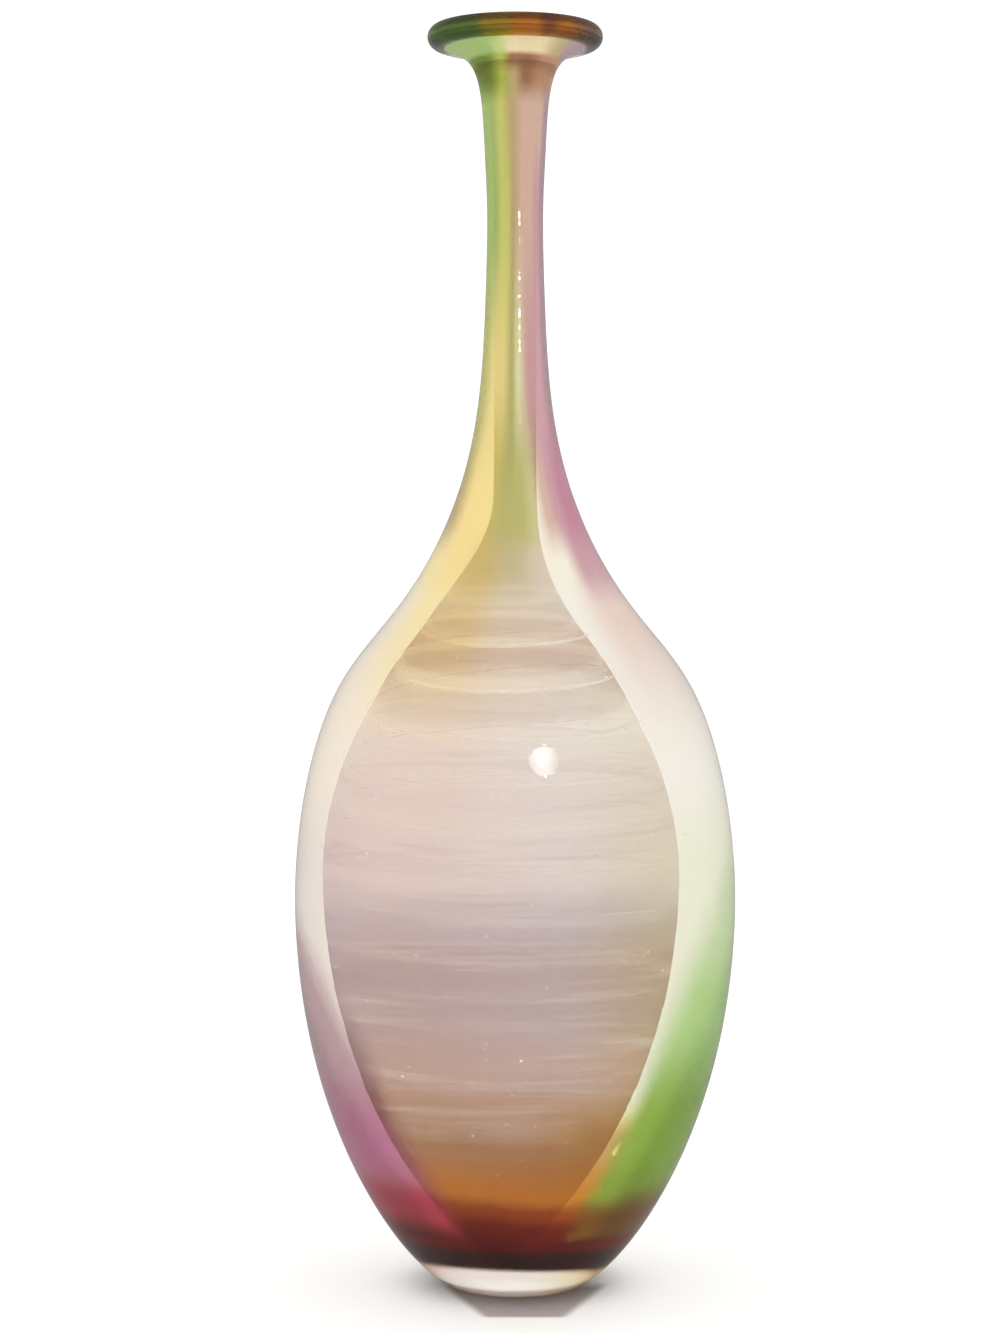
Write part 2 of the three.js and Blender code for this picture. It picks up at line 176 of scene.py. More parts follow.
class VaseColours(bpy.types.PropertyGroup):
    """What each glass lets through, once across its layer."""

    clear: colour("Clear", (0.985, 0.98, 0.965), "Clear glass")
    thin: colour("Thin", (0.98, 0.965, 0.93), "Where the colours thin out behind")
    # Painted shade: this dark tint on the foot's lowest few millimetres stands in for the contact shade at
    # its edge
    ground: colour("Ground", (0.24, 0.20, 0.17), "Ground rim of the foot")
    smoke: colour("Smoke", (0.70, 0.59, 0.56), "Smoky liner at the bulb's shoulder")
    fume: colour("Fume", (0.76, 0.68, 0.65), "Smoky liner above the shoulder's ring")
    haze: colour("Haze", (0.71, 0.565, 0.50), "Browner ring in the bulb's shoulder")
    milk: colour("Milk", (0.94, 0.89, 0.91), "Liner in the upper half of the bulb")
    pearly: colour("Pearly", (0.85, 0.765, 0.80), "Liner round the bulb's middle")
    mist: colour("Mist", (0.62, 0.54, 0.61), "Liner under the bulb's middle")
    cloud: colour("Cloud", (0.545, 0.445, 0.49), "Cooler cloud in the lower half of the bulb")
    dusk: colour("Dusk", (0.58, 0.44, 0.435), "Liner under the cloud")
    fawn: colour("Fawn", (0.50, 0.335, 0.255), "Liner near the flames")
    sepia: colour("Sepia", (0.61, 0.47, 0.39), "Liner over the tips of the flames")
    linen: colour("Linen", (0.80, 0.69, 0.62), "Liner behind the flames")
    olive: colour("Olive", (0.66, 0.64, 0.38), "Liner at the root of the neck")
    bore: colour("Bore", (0.94, 0.92, 0.88), "Liner in the neck")
    opal: colour("Opal", (0.97, 0.94, 0.90), "Thread round the bulb")
    # Painted shade: jet darkens the cup's lower edge, in place of the dark edge that the long grazing path
    # through the red gives
    jet: colour("Jet", (0.035, 0.012, 0.010), "Lower edge of the cup, where the red is thickest")
    garnet: colour("Garnet", (0.12, 0.008, 0.005), "Middle of the cup")
    ruby: colour("Ruby", (0.18, 0.022, 0.012), "Top of the cup")
    blood: colour("Blood", (0.72, 0.50, 0.43), "Back of the cup")
    russet: colour("Russet", (0.34, 0.088, 0.022), "Flames, where they leave the red")
    brick: colour("Brick", (0.84, 0.65, 0.42), "Flames behind")
    amber: colour("Amber", (0.60, 0.30, 0.066), "Flames over the red")
    toffee: colour("Toffee", (0.59, 0.335, 0.145), "Flames, higher up")
    biscuit: colour("Biscuit", (0.58, 0.40, 0.26), "Tips of the flames")
    apricot: colour("Apricot", (0.90, 0.78, 0.63), "Tips of the flames behind")
    wine: colour("Wine", (0.40, 0.065, 0.13), "Left flank, at its foot")
    magenta: colour("Magenta", (0.46, 0.19, 0.31), "Left flank, low down")
    lavender: colour("Lavender", (0.46, 0.32, 0.36), "Left flank, high up")
    bottle: colour("Bottle", (0.21, 0.115, 0.02), "Right flank, at its foot")
    leaf: colour("Leaf", (0.27, 0.43, 0.08), "Right flank, low down")
    spring: colour("Spring", (0.42, 0.61, 0.26), "Right flank, high up")
    mint: colour("Mint", (0.58, 0.70, 0.46), "Right flank, at its tip")
    ivory: colour("Ivory", (0.86, 0.85, 0.83), "Right side of the belt")
    blush: colour("Blush", (0.88, 0.81, 0.76), "Left side of the belt")
    dove: colour("Dove", (0.80, 0.74, 0.73), "Left side of the belt, low down")
    celery: colour("Celery", (0.80, 0.82, 0.70), "Right side of the belt, low down")
    fir: colour("Fir", (0.19, 0.26, 0.10), "Left of the lip's edge")
    drab: colour("Drab", (0.40, 0.30, 0.05), "Left of the middle of the lip's edge")
    tan: colour("Tan", (0.50, 0.26, 0.06), "Middle of the lip's edge")
    rust: colour("Rust", (0.33, 0.16, 0.08), "Under the lip, and right of the middle of its edge")
    ash: colour("Ash", (0.27, 0.21, 0.17), "Right of the lip's edge")
    sap: colour("Sap", (0.15, 0.22, 0.03), "Left of the neck, under the lip")
    moss: colour("Moss", (0.41, 0.47, 0.09), "Left of the middle, under the lip")
    # Partly painted shade: fern's darkness at the neck's left edge stands in for the darkening where the
    # glass turns away
    fern: colour("Fern", (0.36, 0.49, 0.17), "Left edge of the neck")
    pear: colour("Pear", (0.50, 0.60, 0.24), "Under the lip, on the left")
    cream: colour("Cream", (0.78, 0.67, 0.44), "Under the lip, in the middle")
    lime: colour("Lime", (0.57, 0.60, 0.20), "Left of the neck")
    umber: colour("Umber", (0.51, 0.41, 0.22), "Middle of the neck")
    clay: colour("Clay", (0.47, 0.27, 0.18), "Right edge under the lip")
    rose: colour("Rose", (0.65, 0.47, 0.41), "Right of the neck")
    mauve: colour("Mauve", (0.59, 0.36, 0.43), "Right edge of the neck")
    # Partly painted shade: plum's darkness at the neck's right rim stands in for the darkening where the
    # glass turns away
    plum: colour("Plum", (0.40, 0.28, 0.33), "Right rim of the neck")
    straw: colour("Straw", (0.77, 0.67, 0.30), "Left of the neck's root")
    grass: colour("Grass", (0.48, 0.48, 0.19), "Middle of the neck's root")
    celadon: colour("Celadon", (0.72, 0.71, 0.47), "Right of the middle of the neck's root")
    honey: colour("Honey", (0.87, 0.72, 0.34), "Left of the shoulder")
    butter: colour("Butter", (0.88, 0.77, 0.47), "Left of the shoulder, lower down")
    pearl: colour("Pearl", (0.87, 0.84, 0.76), "Right of the shoulder's middle")
    orchid: colour("Orchid", (0.54, 0.25, 0.36), "Right of the shoulder")
    shell: colour("Shell", (0.79, 0.65, 0.62), "Right of the shoulder, lower down")


class VaseStudio(bpy.types.PropertyGroup):
    """Camera, lights and floor."""

    camera_distance: length("Camera Distance", 800, "From the vase's axis to the camera")
    camera_height: length("Camera Height", 201.7, "Height of the camera over the table")
    aim_height: length("Aim Height", 172.4, "Height on the vase's axis at the middle of the picture")
    aim_left: length("Aim Left", 4.2, "How far left of the axis the camera aims")
    lens: FloatProperty(name="Lens", description="Focal length", default=77.53, unit="CAMERA")
    flash_radius: length("Flash Radius", 6, "Radius of the small round light")
    flash_height: length("Flash Height", 358, "Height of the small round light")
    flash_aim: length("Flash Aim", 300, "Height on the axis that it points at")
    flash_power: FloatProperty(name="Flash Power", description="Its power", default=0.12, subtype="POWER")
    glow_radius: length("Glow Radius", 42, "Radius of the narrow beam on the body")
    glow_height: length("Glow Height", 407, "Height of the narrow beam")
    glow_aim: length("Glow Aim", 110, "Height on the axis that it points at")
    glow_power: FloatProperty(name="Glow Power", description="Its power", default=0.0036, subtype="POWER")
    lamp_right: length("Lamp Right", 154, "How far right of the axis the two lights are")
    lamp_front: length("Lamp Front", 520, "How far in front of the axis they are")
    sky_strength: FloatProperty(name="Sky Strength", description="Brightness of the white room", default=1.16)
    reflected_share: FloatProperty(
        name="Reflected Share", description="How much of the room's light shows in reflections", default=0.3
    )
    floor_drop: length("Floor Drop", 0.2, "Below the ground foot, so that the two faces don't coincide")
    floor_size: length("Floor Size", 6000, "Edge of the pale floor")


# Colours of the belt, shoulder, neck and lip, from the left edge (-1) to the right edge (1). The rows come
# down from the lip. Their heights are true up to the flare, and there the way out counts as well.
LIP_ROW = (
    (-1, "fir"), (-0.5, "fir"), (-0.33, "drab"), (-0.15, "drab"), (0.05, "tan"), (0.25, "tan"),
    (0.38, "rust"), (0.6, "tan"), (0.9, "ash"),
)
# The darker stops at the neck's very edges, fern on the left and plum on the right, are partly painted shade
# where the glass turns away, over the glass's own green and rose
STRIPES = (
    (0.3590, LIP_ROW),
    (0.3575, (
        (-1, "fern"), (-0.55, "fern"), (-0.3, "pear"), (-0.05, "cream"), (0.4, "cream"), (0.7, "umber"),
        (1, "plum"),
    )),
    (0.3445, (
        (-1, "fern"), (-0.55, "fern"), (-0.35, "pear"), (-0.1, "cream"), (0.5, "cream"), (0.85, "umber"),
        (1, "plum"),
    )),
    (0.3415, (
        (-1, "sap"), (-0.7, "sap"), (-0.35, "moss"), (-0.05, "rust"), (0.35, "rust"), (0.75, "clay"),
        (1, "clay"),
    )),
    (0.3345, (
        (-1, "sap"), (-0.75, "sap"), (-0.35, "moss"), (-0.05, "umber"), (0.3, "rust"), (0.75, "clay"),
        (1, "clay"),
    )),
    (0.3265, (
        (-1, "fern"), (-0.85, "fern"), (-0.5, "lime"), (-0.1, "umber"), (0.3, "rose"), (0.8, "rose"),
        (1, "plum"),
    )),
    (0.3000, (
        (-1, "fern"), (-0.8, "fern"), (-0.5, "lime"), (-0.3, "lime"), (-0.08, "umber"), (0.3, "rose"),
        (0.6, "rose"), (0.78, "mauve"), (1, "plum"),
    )),
    (0.2510, (
        (-1, "grass"), (-0.65, "straw"), (-0.4, "straw"), (-0.1, "grass"), (0.1, "celadon"),
        (0.47, "mauve"), (0.8, "mauve"), (1, "plum"),
    )),
    (0.2140, (
        (-1, "umber"), (-0.78, "honey"), (-0.5, "honey"), (-0.2, "celadon"), (0.08, "celadon"),
        (0.32, "pearl"), (0.55, "rose"), (0.7, "mauve"), (0.87, "orchid"), (1, "orchid"),
    )),
    (0.2000, (
        (-1, "butter"), (-0.7, "honey"), (-0.4, "straw"), (-0.05, "celadon"), (0.34, "pearl"),
        (0.6, "pearl"), (0.8, "mauve"), (1, "mauve"),
    )),
    (0.1870, (
        (-1, "blush"), (-0.8, "butter"), (-0.45, "butter"), (-0.05, "pearl"), (0.5, "ivory"),
        (0.82, "shell"), (1, "shell"),
    )),
    (0.1450, (
        (-1, "blush"), (-0.4, "blush"), (0.2, "ivory"), (1, "ivory"),
    )),
    (0.1180, (
        (-1, "dove"), (-0.6, "blush"), (0.3, "ivory"), (1, "celery"),
    )),
)

# Colours of the smoky liner, of the base in front and behind, and of the two flanks, each by its height
SMOKE_HEIGHTS = (
    (0.016, "linen"), (0.031, "linen"), (0.047, "sepia"), (0.055, "fawn"), (0.066, "dusk"),
    (0.080, "cloud"), (0.092, "cloud"), (0.101, "mist"), (0.114, "pearly"), (0.134, "pearly"),
    (0.152, "milk"), (0.160, "smoke"), (0.171, "haze"), (0.182, "fume"), (0.194, "fume"), (0.208, "olive"),
    (0.222, "olive"), (0.255, "bore"),
)
# The near-black jet low on the front is painted shade; the other stops are the glass's own colours
FRONT_HEIGHTS = (
    (0.0110, "clear"), (0.0124, "jet"), (0.0155, "jet"), (0.0180, "garnet"), (0.0245, "ruby"),
    (0.0288, "russet"), (0.0342, "amber"), (0.040, "toffee"), (0.0465, "biscuit"), (0.057, "dove"),
)
BACK_HEIGHTS = (
    (0.0098, "clear"), (0.0125, "thin"), (0.0165, "dove"), (0.0215, "blood"), (0.028, "brick"),
    (0.036, "apricot"), (0.048, "thin"),
)
FLANK_HEIGHTS = {
    "violet": (
        (0.019, "garnet"), (0.026, "wine"), (0.030, "wine"), (0.037, "magenta"), (0.046, "magenta"),
        (0.070, "lavender"),
    ),
    "green": (
        (0.0185, "garnet"), (0.0215, "bottle"), (0.0265, "bottle"), (0.034, "leaf"), (0.052, "leaf"),
        (0.080, "spring"), (0.105, "mint"),
    ),
}

# Where the shading changes: up the lip, on its ring, round the back and up the base, and the stripes' spans
LIP_HEIGHTS = (0.335, 0.340)
CROWN_HEIGHTS = (0.3462, 0.3488)
# Painted shade: this tint darkens the top of the lip, a dark outline where the rim turns away
CROWN_SHADE = (0.42, 0.38, 0.36)
CASING_EDGE = 0.0208
INNER_EDGE = 0.0188
NECK_RING = 0.0095
WINDOW = (0.80, 0.92)
BELT_HEIGHTS = (0.050, 0.062)
BELT_SPAN, SHOULDER_SPAN, NECK_SPAN = (0.118, 0.204), (0.17, 0.244), (0.244, 0.35)
STRIPE_MARGIN = 0.05
RIGHT_BASE_TINT = (1.0, 0.98, 0.70)

# The veil: tints of its sides and strokes, and the pale trails that the thread leaves in it
LEFT_VEIL, RIGHT_VEIL, LOW_RIGHT_VEIL = (0.94, 0.95, 0.96), (0.95, 0.96, 0.86), (1.0, 0.95, 0.70)
PALE_STROKE, DARK_STROKE, TRAIL_TINT = (0.90, 0.84, 0.81), (0.42, 0.33, 0.34), (0.96, 0.91, 0.86)
TRAIL_HEIGHT = 0.1770
TRAIL_PITCH = 0.0114

# Light that passes to the floor and to what lies inside
ROOM_WHITE = (1.0, 0.995, 0.985, 1.0)
FOOT_SHADE = (0.12, 0.10, 0.09)
SHADE_SHARE = 0.85
FLOOR_FADE = (0.03, 0.16)

# The short painted shadow in front of the foot: its tint, and its reach, width, taper, shift and blur in
# metres
SHADOW_TINT = (0.42, 0.36, 0.35)
SHADOW_REACH, SHADOW_WIDTH, SHADOW_TAPER, SHADOW_SHIFT = 0.041, 0.0265, 0.35, 0.0025
SHADOW_END_BLUR, SHADOW_SIDE_BLUR = 0.003, 0.004

GLASS_IOR = 1.5
FUSED_IOR = 1.0
NO_TINT = (1, 1, 1)
WATER_WHITE = (1, 0.998, 0.99)
THREAD_GUIDE_RADIUS = 0.08
WIDE_SPREAD, NARROW_SPREAD = 3.1, 0.32
GLOW_WIDENING = 2.0
GLASS_BOUNCES = 64


@dataclass(frozen=True)
class Face:
    """One turned face of the vase, from its floor on the axis up to its tip in the lip."""

    foot: float
    floor: float
    body: float
    neck: float
    widest: float
    waist: float
    flare_start: float
    swell: float
    tip: float
    tip_height: float
    fullness: float
    shares: tuple

    def inset(self, wall, neck_wall=None, lip_wall=None, rim=0):
        """The same face further in from the outside of the vase."""
        return replace(
            self,
            floor=self.floor + wall,
            body=self.body - wall,
            neck=self.neck - (wall if neck_wall is None else neck_wall),
            tip=self.tip - rim,
            tip_height=self.tip_height + (wall if lip_wall is None else lip_wall),
        )

    def radius_above(self, z):
        share = min((z - self.widest) / (self.waist - self.widest), 1)
        return self.neck + (self.body - self.neck) * along_table(self.shares, share)

    def outline(self):
        """Points (radius, height) from the lowest one up to the tip."""
        points = []
        for i in range(FLOOR_ROWS + 1):
            angle = i / FLOOR_ROWS * math.pi / 2
            swell = math.sin(angle) ** (2 * self.fullness)
            z = self.floor + (self.widest - self.floor) * (1 - math.cos(angle))
            points.append((self.foot + (self.body - self.foot) * swell, z))
        for i in range(1, SHOULDER_ROWS + 1):
            z = self.widest + (self.waist - self.widest) * i / SHOULDER_ROWS
            points.append((self.radius_above(z), z))
        start = np.array((self.neck + self.swell, self.flare_start))
        end = np.array((self.tip, self.tip_height))
        bend, reach = (start + (end - start) * np.array(share) for share in FLARE_SHARES)
        neck = np.array(points[-1])
        for i in range(1, FLARE_ROWS):
            points.append(tuple(neck + (start - neck) * i / FLARE_ROWS))
        for i in range(FLARE_ROWS + 1):
            t = i / FLARE_ROWS
            curve = (1 - t) ** 3 * start + 3 * t * (1 - t) ** 2 * bend
            curve += 3 * t * t * (1 - t) * reach + t**3 * end
            points.append(tuple(curve))
        return smoothed(np.array(points))


def along_table(rows, share):
    """The value of a table at a share of its way, on a smooth curve through its rows."""
    last = len(rows) - 1
    i = next((k for k, row in enumerate(rows) if row[0] >= share), last)
    i = max(i, 1)

    def slope(k):
        if k in (0, last):
            return 0
        return (rows[k + 1][1] - rows[k - 1][1]) / (rows[k + 1][0] - rows[k - 1][0])

    width = rows[i][0] - rows[i - 1][0]
    t = min((share - rows[i - 1][0]) / width, 1)
    ease = t * t * (3 - 2 * t)
    bow = width * t * (1 - t) * ((1 - t) * slope(i - 1) - t * slope(i))
    return rows[i - 1][1] * (1 - ease) + rows[i][1] * ease + bow


def smoothed(points):
    """Evens out small kinks, with the two ends where they are."""
    points = points.copy()
    for _ in range(SMOOTHING_PASSES):
        points[1:-1] = (points[:-2] + 2 * points[1:-1] + points[2:]) / 4
    return points


@dataclass(frozen=True)
class Plan:
    """Every turned face of the vase, worked out from the sizes."""

    shape: VaseShape
    layers: VaseLayers

    @property
    def outside(self):
        shape = self.shape
        return Face(
            foot=shape.foot_radius,
            floor=0,
            body=shape.body_radius,
            neck=shape.neck_radius,
            widest=shape.body_height,
            waist=self.waist,
            flare_start=shape.height - shape.flare_drop,
            swell=shape.neck_swell,
            tip=self.rim_centre[0],
            tip_height=shape.height - shape.lip_thickness,
            fullness=OUTER_FULLNESS_SHARE,
            shares=SHOULDER_SHARES,
        )

    @property
    def waist(self):
        return self.shape.height - self.shape.waist_drop

    @property
    def rim_radius(self):
        return self.shape.lip_thickness / 2

    @property
    def rim_centre(self):
        return (self.shape.lip_radius - self.rim_radius, self.shape.height - self.rim_radius)

    @property
    def tip_radius(self):
        return self.shape.lip_radius - self.layers.casing_rim_wall

    @property
    def tip_rise(self):
        return math.sqrt(self.rim_radius**2 - (self.tip_radius - self.rim_centre[0]) ** 2)

    @property
    def casing_inside(self):
        shape, layers = self.shape, self.layers
        return replace(
            self.outside,
            foot=0,
            floor=layers.casing_floor,
            body=shape.body_radius - layers.casing_wall,
            neck=shape.neck_radius - layers.casing_neck_wall,
            tip=self.tip_radius,
            tip_height=shape.height - shape.lip_thickness + layers.casing_lip_wall,
            fullness=LAYER_FULLNESS_SHARE,
        )

    @property
    def colour_outside(self):
        seam = self.layers.fused_seam
        return self.casing_inside.inset(seam, rim=seam)

    @property
    def colour_inside(self):
        return self.colour_outside.inset(self.layers.colour_wall, self.layers.colour_neck_wall)

    @property
    def core_outside(self):
        return self.colour_inside.inset(self.layers.fused_seam)

    @property
    def bubble(self):
        shape, layers = self.shape, self.layers
        wall = layers.casing_wall + layers.colour_wall + layers.core_wall + layers.thread_space
        return Face(
            foot=0,
            floor=shape.bubble_floor,
            body=shape.body_radius - wall - layers.liner_wall - 2 * layers.seam,
            neck=shape.bore_radius,
            widest=shape.bubble_height,
            waist=shape.height - shape.bore_drop,
            flare_start=shape.height - shape.mouth_drop,
            swell=0,
            tip=self.tip_radius - layers.fused_seam,
            tip_height=self.rim_centre[1] + self.tip_rise,
            fullness=BUBBLE_FULLNESS_SHARE,
            shares=BUBBLE_SHARES,
        )

    @property
    def liner_outside(self):
        layers = self.layers
        return self.bubble.inset(-layers.liner_wall, -layers.liner_neck_wall, -layers.liner_lip_wall)

    @property
    def core_inside(self):
        face = self.liner_outside.inset(-self.layers.fused_seam)
        return replace(face, body=self.liner_outside.body + self.layers.thread_space)

    def up_shoulder(self, share):
        return self.shape.body_height + (self.waist - self.shape.body_height) * share

    def drift(self, z):
        """How far the bubble is off the axis at a height."""
        t = np.clip((self.bubble.waist - z) / self.shape.drift_fade, 0, 1)
        return self.shape.bubble_drift * t * t * (3 - 2 * t)

    def rim_outline(self):
        """The way round the edge of the lip, from under it to the edge of the inner layers on top."""
        end = math.atan2(self.tip_rise, self.tip_radius - self.rim_centre[0])
        angles = -math.pi / 2 + (end + math.pi / 2) * np.arange(1, RIM_ROWS + 1) / RIM_ROWS
        circle = np.stack((np.cos(angles), np.sin(angles)), 1)
        return np.array(self.rim_centre) + self.rim_radius * circle


def link(thing):
    bpy.context.scene.collection.objects.link(thing)
    return thing


def aimed(name, data, place, target):
    """A lamp or camera that looks from a place to a target."""
    thing = link(bpy.data.objects.new(name, data))
    thing.location = place
    thing.rotation_euler = (Vector(target) - thing.location).to_track_quat("-Z", "Y").to_euler()
    return thing


def plan():
    """The plan for the sizes that are set now."""
    scene = bpy.context.scene
    return Plan(scene.vase_shape, scene.vase_layers)


def new_piece(name, points, faces, materials, slots=None, attributes=None):
    """A smooth mesh object in the scene, with its place in its mesh."""
    mesh = bpy.data.meshes.new(name)
    mesh.from_pydata([tuple(p) for p in points], [], faces)
    for material in materials:
        mesh.materials.append(material)
    if slots is not None:
        mesh.polygons.foreach_set("material_index", slots)
    for key, values in (attributes or {}).items():
        mesh.attributes.new(key, "FLOAT", "POINT").data.foreach_set("value", values)
    mesh.polygons.foreach_set("use_smooth", [True] * len(mesh.polygons))
    mesh.set_sharp_from_angle(angle=math.radians(SHARP_DEGREES))
    mesh.update()
    if mesh.validate():
        raise RuntimeError(f"the mesh of {name} isn't sound")
    return link(bpy.data.objects.new(name, mesh))


def seat(piece, slot, *nodes):
    """Makes a piece ride on the vase and stand for its nodes. Its slot is not used."""
    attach(piece, "root")
    if nodes:
        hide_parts(*nodes)
    return piece


def turned(name, outer, inner, materials, drifts=(None, None)):
    """The solid between two turned outlines. The last of its materials is on its inner face."""
    profile = [tuple(point) for point in (*outer, *inner[::-1])]
    sides = [0] * len(outer) + [1] * len(inner)
    offsets = [drifts[side](z) if drifts[side] else 0 for side, (_, z) in zip(sides, profile)]
    inner_from = len(outer) - 1
    if profile[0][0] > 0:
        profile.insert(0, (0, profile[0][1]))
        offsets.insert(0, 0)
        inner_from += 1
    points = []
    rings = []
    for (radius, z), offset in zip(profile, offsets):
        if radius < 1e-9:
            rings.append([len(points)] * AROUND)
            points.append((-offset, 0, z))
            continue
        rings.append(list(range(len(points), len(points) + AROUND)))
        for k in range(AROUND):
            angle = 2 * math.pi * k / AROUND
            points.append((radius * math.sin(angle) - offset, -radius * math.cos(angle), z))
    faces, slots = [], []
    for row, (low, high) in enumerate(zip(rings, rings[1:])):
        slot = len(materials) - 1 if row >= inner_from else 0
        for k in range(AROUND):
            nxt = (k + 1) % AROUND
            corners = (low[k], low[nxt], high[nxt], high[k])
            faces.append(tuple(dict.fromkeys(corners)))
            slots.append(slot)
    return new_piece(name, points, faces, materials, slots)


class Layer:
    """The colour layer, as a surface with an azimuth from the front and a length along its outline."""

    def __init__(self, outer, inner):
        self.outer = outer
        self.inner = inner
        steps = np.hypot(*np.diff(outer, axis=0).T)
        self.lengths = np.concatenate(([0], np.cumsum(steps)))

    def at_height(self, z):
        """The length along the outline at a height, below the lip's flare."""
        return np.interp(z, self.outer[:, 1], self.lengths)

    @property
    def tip(self):
        return self.lengths[-1]

    def place(self, azimuth, along, inside):
        """Points on the outer or inner surface."""
        line = self.inner if inside else self.outer
        radius = np.interp(along, self.lengths, line[:, 0])
        z = np.interp(along, self.lengths, line[:, 1])
        return np.stack((radius * np.sin(azimuth), -radius * np.cos(azimuth), z), -1)

    def seam(self, foot, tip, bend):
        """The azimuths and lengths of a seam that is drawn from the front, where it lies on the layer."""
        foot, tip = np.array(foot), np.array(tip)
        control = foot + (tip - foot) * np.array(bend)
        t = np.linspace(0, 1, SEAM_STEPS)[:, None]
        line = (1 - t) ** 2 * foot + 2 * t * (1 - t) * control + t * t * tip
        radius = np.interp(line[:, 1], self.outer[:, 1], self.outer[:, 0])
        on_layer = np.abs(line[:, 0]) <= radius
        line, radius = line[on_layer], radius[on_layer]
        azimuth = np.arcsin(line[:, 0] / radius)
        return azimuth, self.at_height(line[:, 1])


def patch(name, layer, azimuths, low, high, materials, depths):
    """One colour of the layer, between two lengths at each azimuth, closed at its edges."""
    rows = PATCH_ROWS[name]
    closed = abs(azimuths[-1] - azimuths[0]) > 2 * math.pi - 1e-6
    if closed:
        azimuths, low, high = azimuths[:-1], low[:-1], high[:-1]
    columns = len(azimuths)
    share = np.linspace(0, 1, rows)[:, None]
    along = low[None] + (high - low)[None] * share
    grid = np.repeat(azimuths[None], rows, 0)
    sides = [layer.place(grid, along, inside).reshape(-1, 3) for inside in (False, True)]
    points = np.concatenate(sides)
    inner = rows * columns
    faces = []
    spans = range(columns) if closed else range(columns - 1)
    for row in range(rows - 1):
        for k in spans:
            nxt = (k + 1) % columns
            a, b = row * columns + k, row * columns + nxt
            c, d = b + columns, a + columns
            faces.append((a, b, c, d))
            faces.append((a + inner, d + inner, c + inner, b + inner))
    broad = len(faces)
    for row, turn in ((0, 1), (rows - 1, -1)):
        for k in spans:
            nxt = (k + 1) % columns
            a, b = row * columns + k, row * columns + nxt
            faces.append((a, a + inner, b + inner, b)[::turn])
    if not closed:
        for k, turn in ((0, -1), (columns - 1, 1)):
            for row in range(rows - 1):
                a, d = row * columns + k, (row + 1) * columns + k
                faces.append((a, a + inner, d + inner, d)[::turn])
    attributes = {key: np.tile(depth(grid, along).ravel(), 2) for key, depth in depths.items()}
    slots = [0] * broad + [1] * (len(faces) - broad)
    return new_piece(name, points, faces, materials, slots, attributes)


class Tree:
    """A short way to write node trees."""

    def __init__(self, tree):
        self.tree = tree

    def add(self, kind, sockets=None, **settings):
        node = self.tree.nodes.new(kind)
        for key, value in settings.items():
            setattr(node, key, value)
        for key, value in (sockets or {}).items():
            if isinstance(value, bpy.types.NodeSocket):
                self.tree.links.new(value, node.inputs[key])
            else:
                node.inputs[key].default_value = value
        return node

    def math(self, operation, first, second=0.0, clamp=False):
        sockets = {0: first, 1: second}
        return self.add("ShaderNodeMath", sockets, operation=operation, use_clamp=clamp).outputs[0]

    def times(self, first, *others):
        for other in others:
            first = self.math("MULTIPLY", first, other)
        return first

    def plus(self, first, second):
        return self.math("ADD", first, second)

    def minus(self, first, second):
        return self.math("SUBTRACT", first, second)

    def band(self, value, low, high):
        """0 below low, 1 above high, smooth between them. It falls where high is the smaller one."""
        sockets = {"Value": value, "From Min": low, "From Max": high}
        return self.add("ShaderNodeMapRange", sockets, interpolation_type="SMOOTHSTEP").outputs[0]

    def slide(self, value, low, high, start=0.0, end=1.0):
        """start at low, end at high, even between them and the same beyond them."""
        sockets = {"Value": value, "From Min": low, "From Max": high, "To Min": start, "To Max": end}
        return self.add("ShaderNodeMapRange", sockets).outputs[0]

    def mix(self, factor, first, second, blend="MIX"):
        sockets = {0: factor, 6: with_alpha(first), 7: with_alpha(second)}
        return self.add("ShaderNodeMix", sockets, data_type="RGBA", blend_type=blend).outputs[2]

    def tinted(self, first, second):
        """Light of one colour after it has gone through the other."""
        return self.mix(1.0, first, second, "MULTIPLY")

    def noise(self, vector, scale, detail=3.0, distortion=0.0, stretch=None):
        if stretch is not None:
            vector = self.add("ShaderNodeMapping", {"Vector": vector, "Scale": stretch}).outputs[0]
        sockets = {"Vector": vector, "Scale": scale, "Detail": detail, "Distortion": distortion}
        return self.add("ShaderNodeTexNoise", sockets).outputs[0]

    def cloud(self, *settings):
        """Noise about zero."""
        return self.minus(self.noise(*settings), 0.5)

    def parts(self, vector):
        return self.add("ShaderNodeSeparateXYZ", {0: vector}).outputs

    def scaled(self, vector, factor):
        sockets = {0: vector, "Scale": factor}
        return self.add("ShaderNodeVectorMath", sockets, operation="SCALE").outputs[0]

    def moved(self, geometry, offset):
        return self.add("GeometryNodeSetPosition", {"Geometry": geometry, "Offset": offset}).outputs[0]

    def upward(self, height):
        return self.add("ShaderNodeCombineXYZ", {2: height}).outputs[0]

    def place(self):
        """Object coordinates, and their parts."""
        vector = self.add("ShaderNodeTexCoord").outputs["Object"]
        return vector, *self.parts(vector)

    def mirrored(self):
        """1 for light that is reflected on its way, 0 for light that goes through glass or comes straight."""
        path = self.add("ShaderNodeLightPath").outputs
        return self.math("SUBTRACT", path["Is Glossy Ray"], path["Is Transmission Ray"], clamp=True)


def with_alpha(value):
    return value if isinstance(value, bpy.types.NodeSocket) else (*value, 1.0)


def new_material(name):
    material = bpy.data.materials.new(name)
    material.use_nodes = True
    material.node_tree.nodes.clear()
    return material, Tree(material.node_tree)


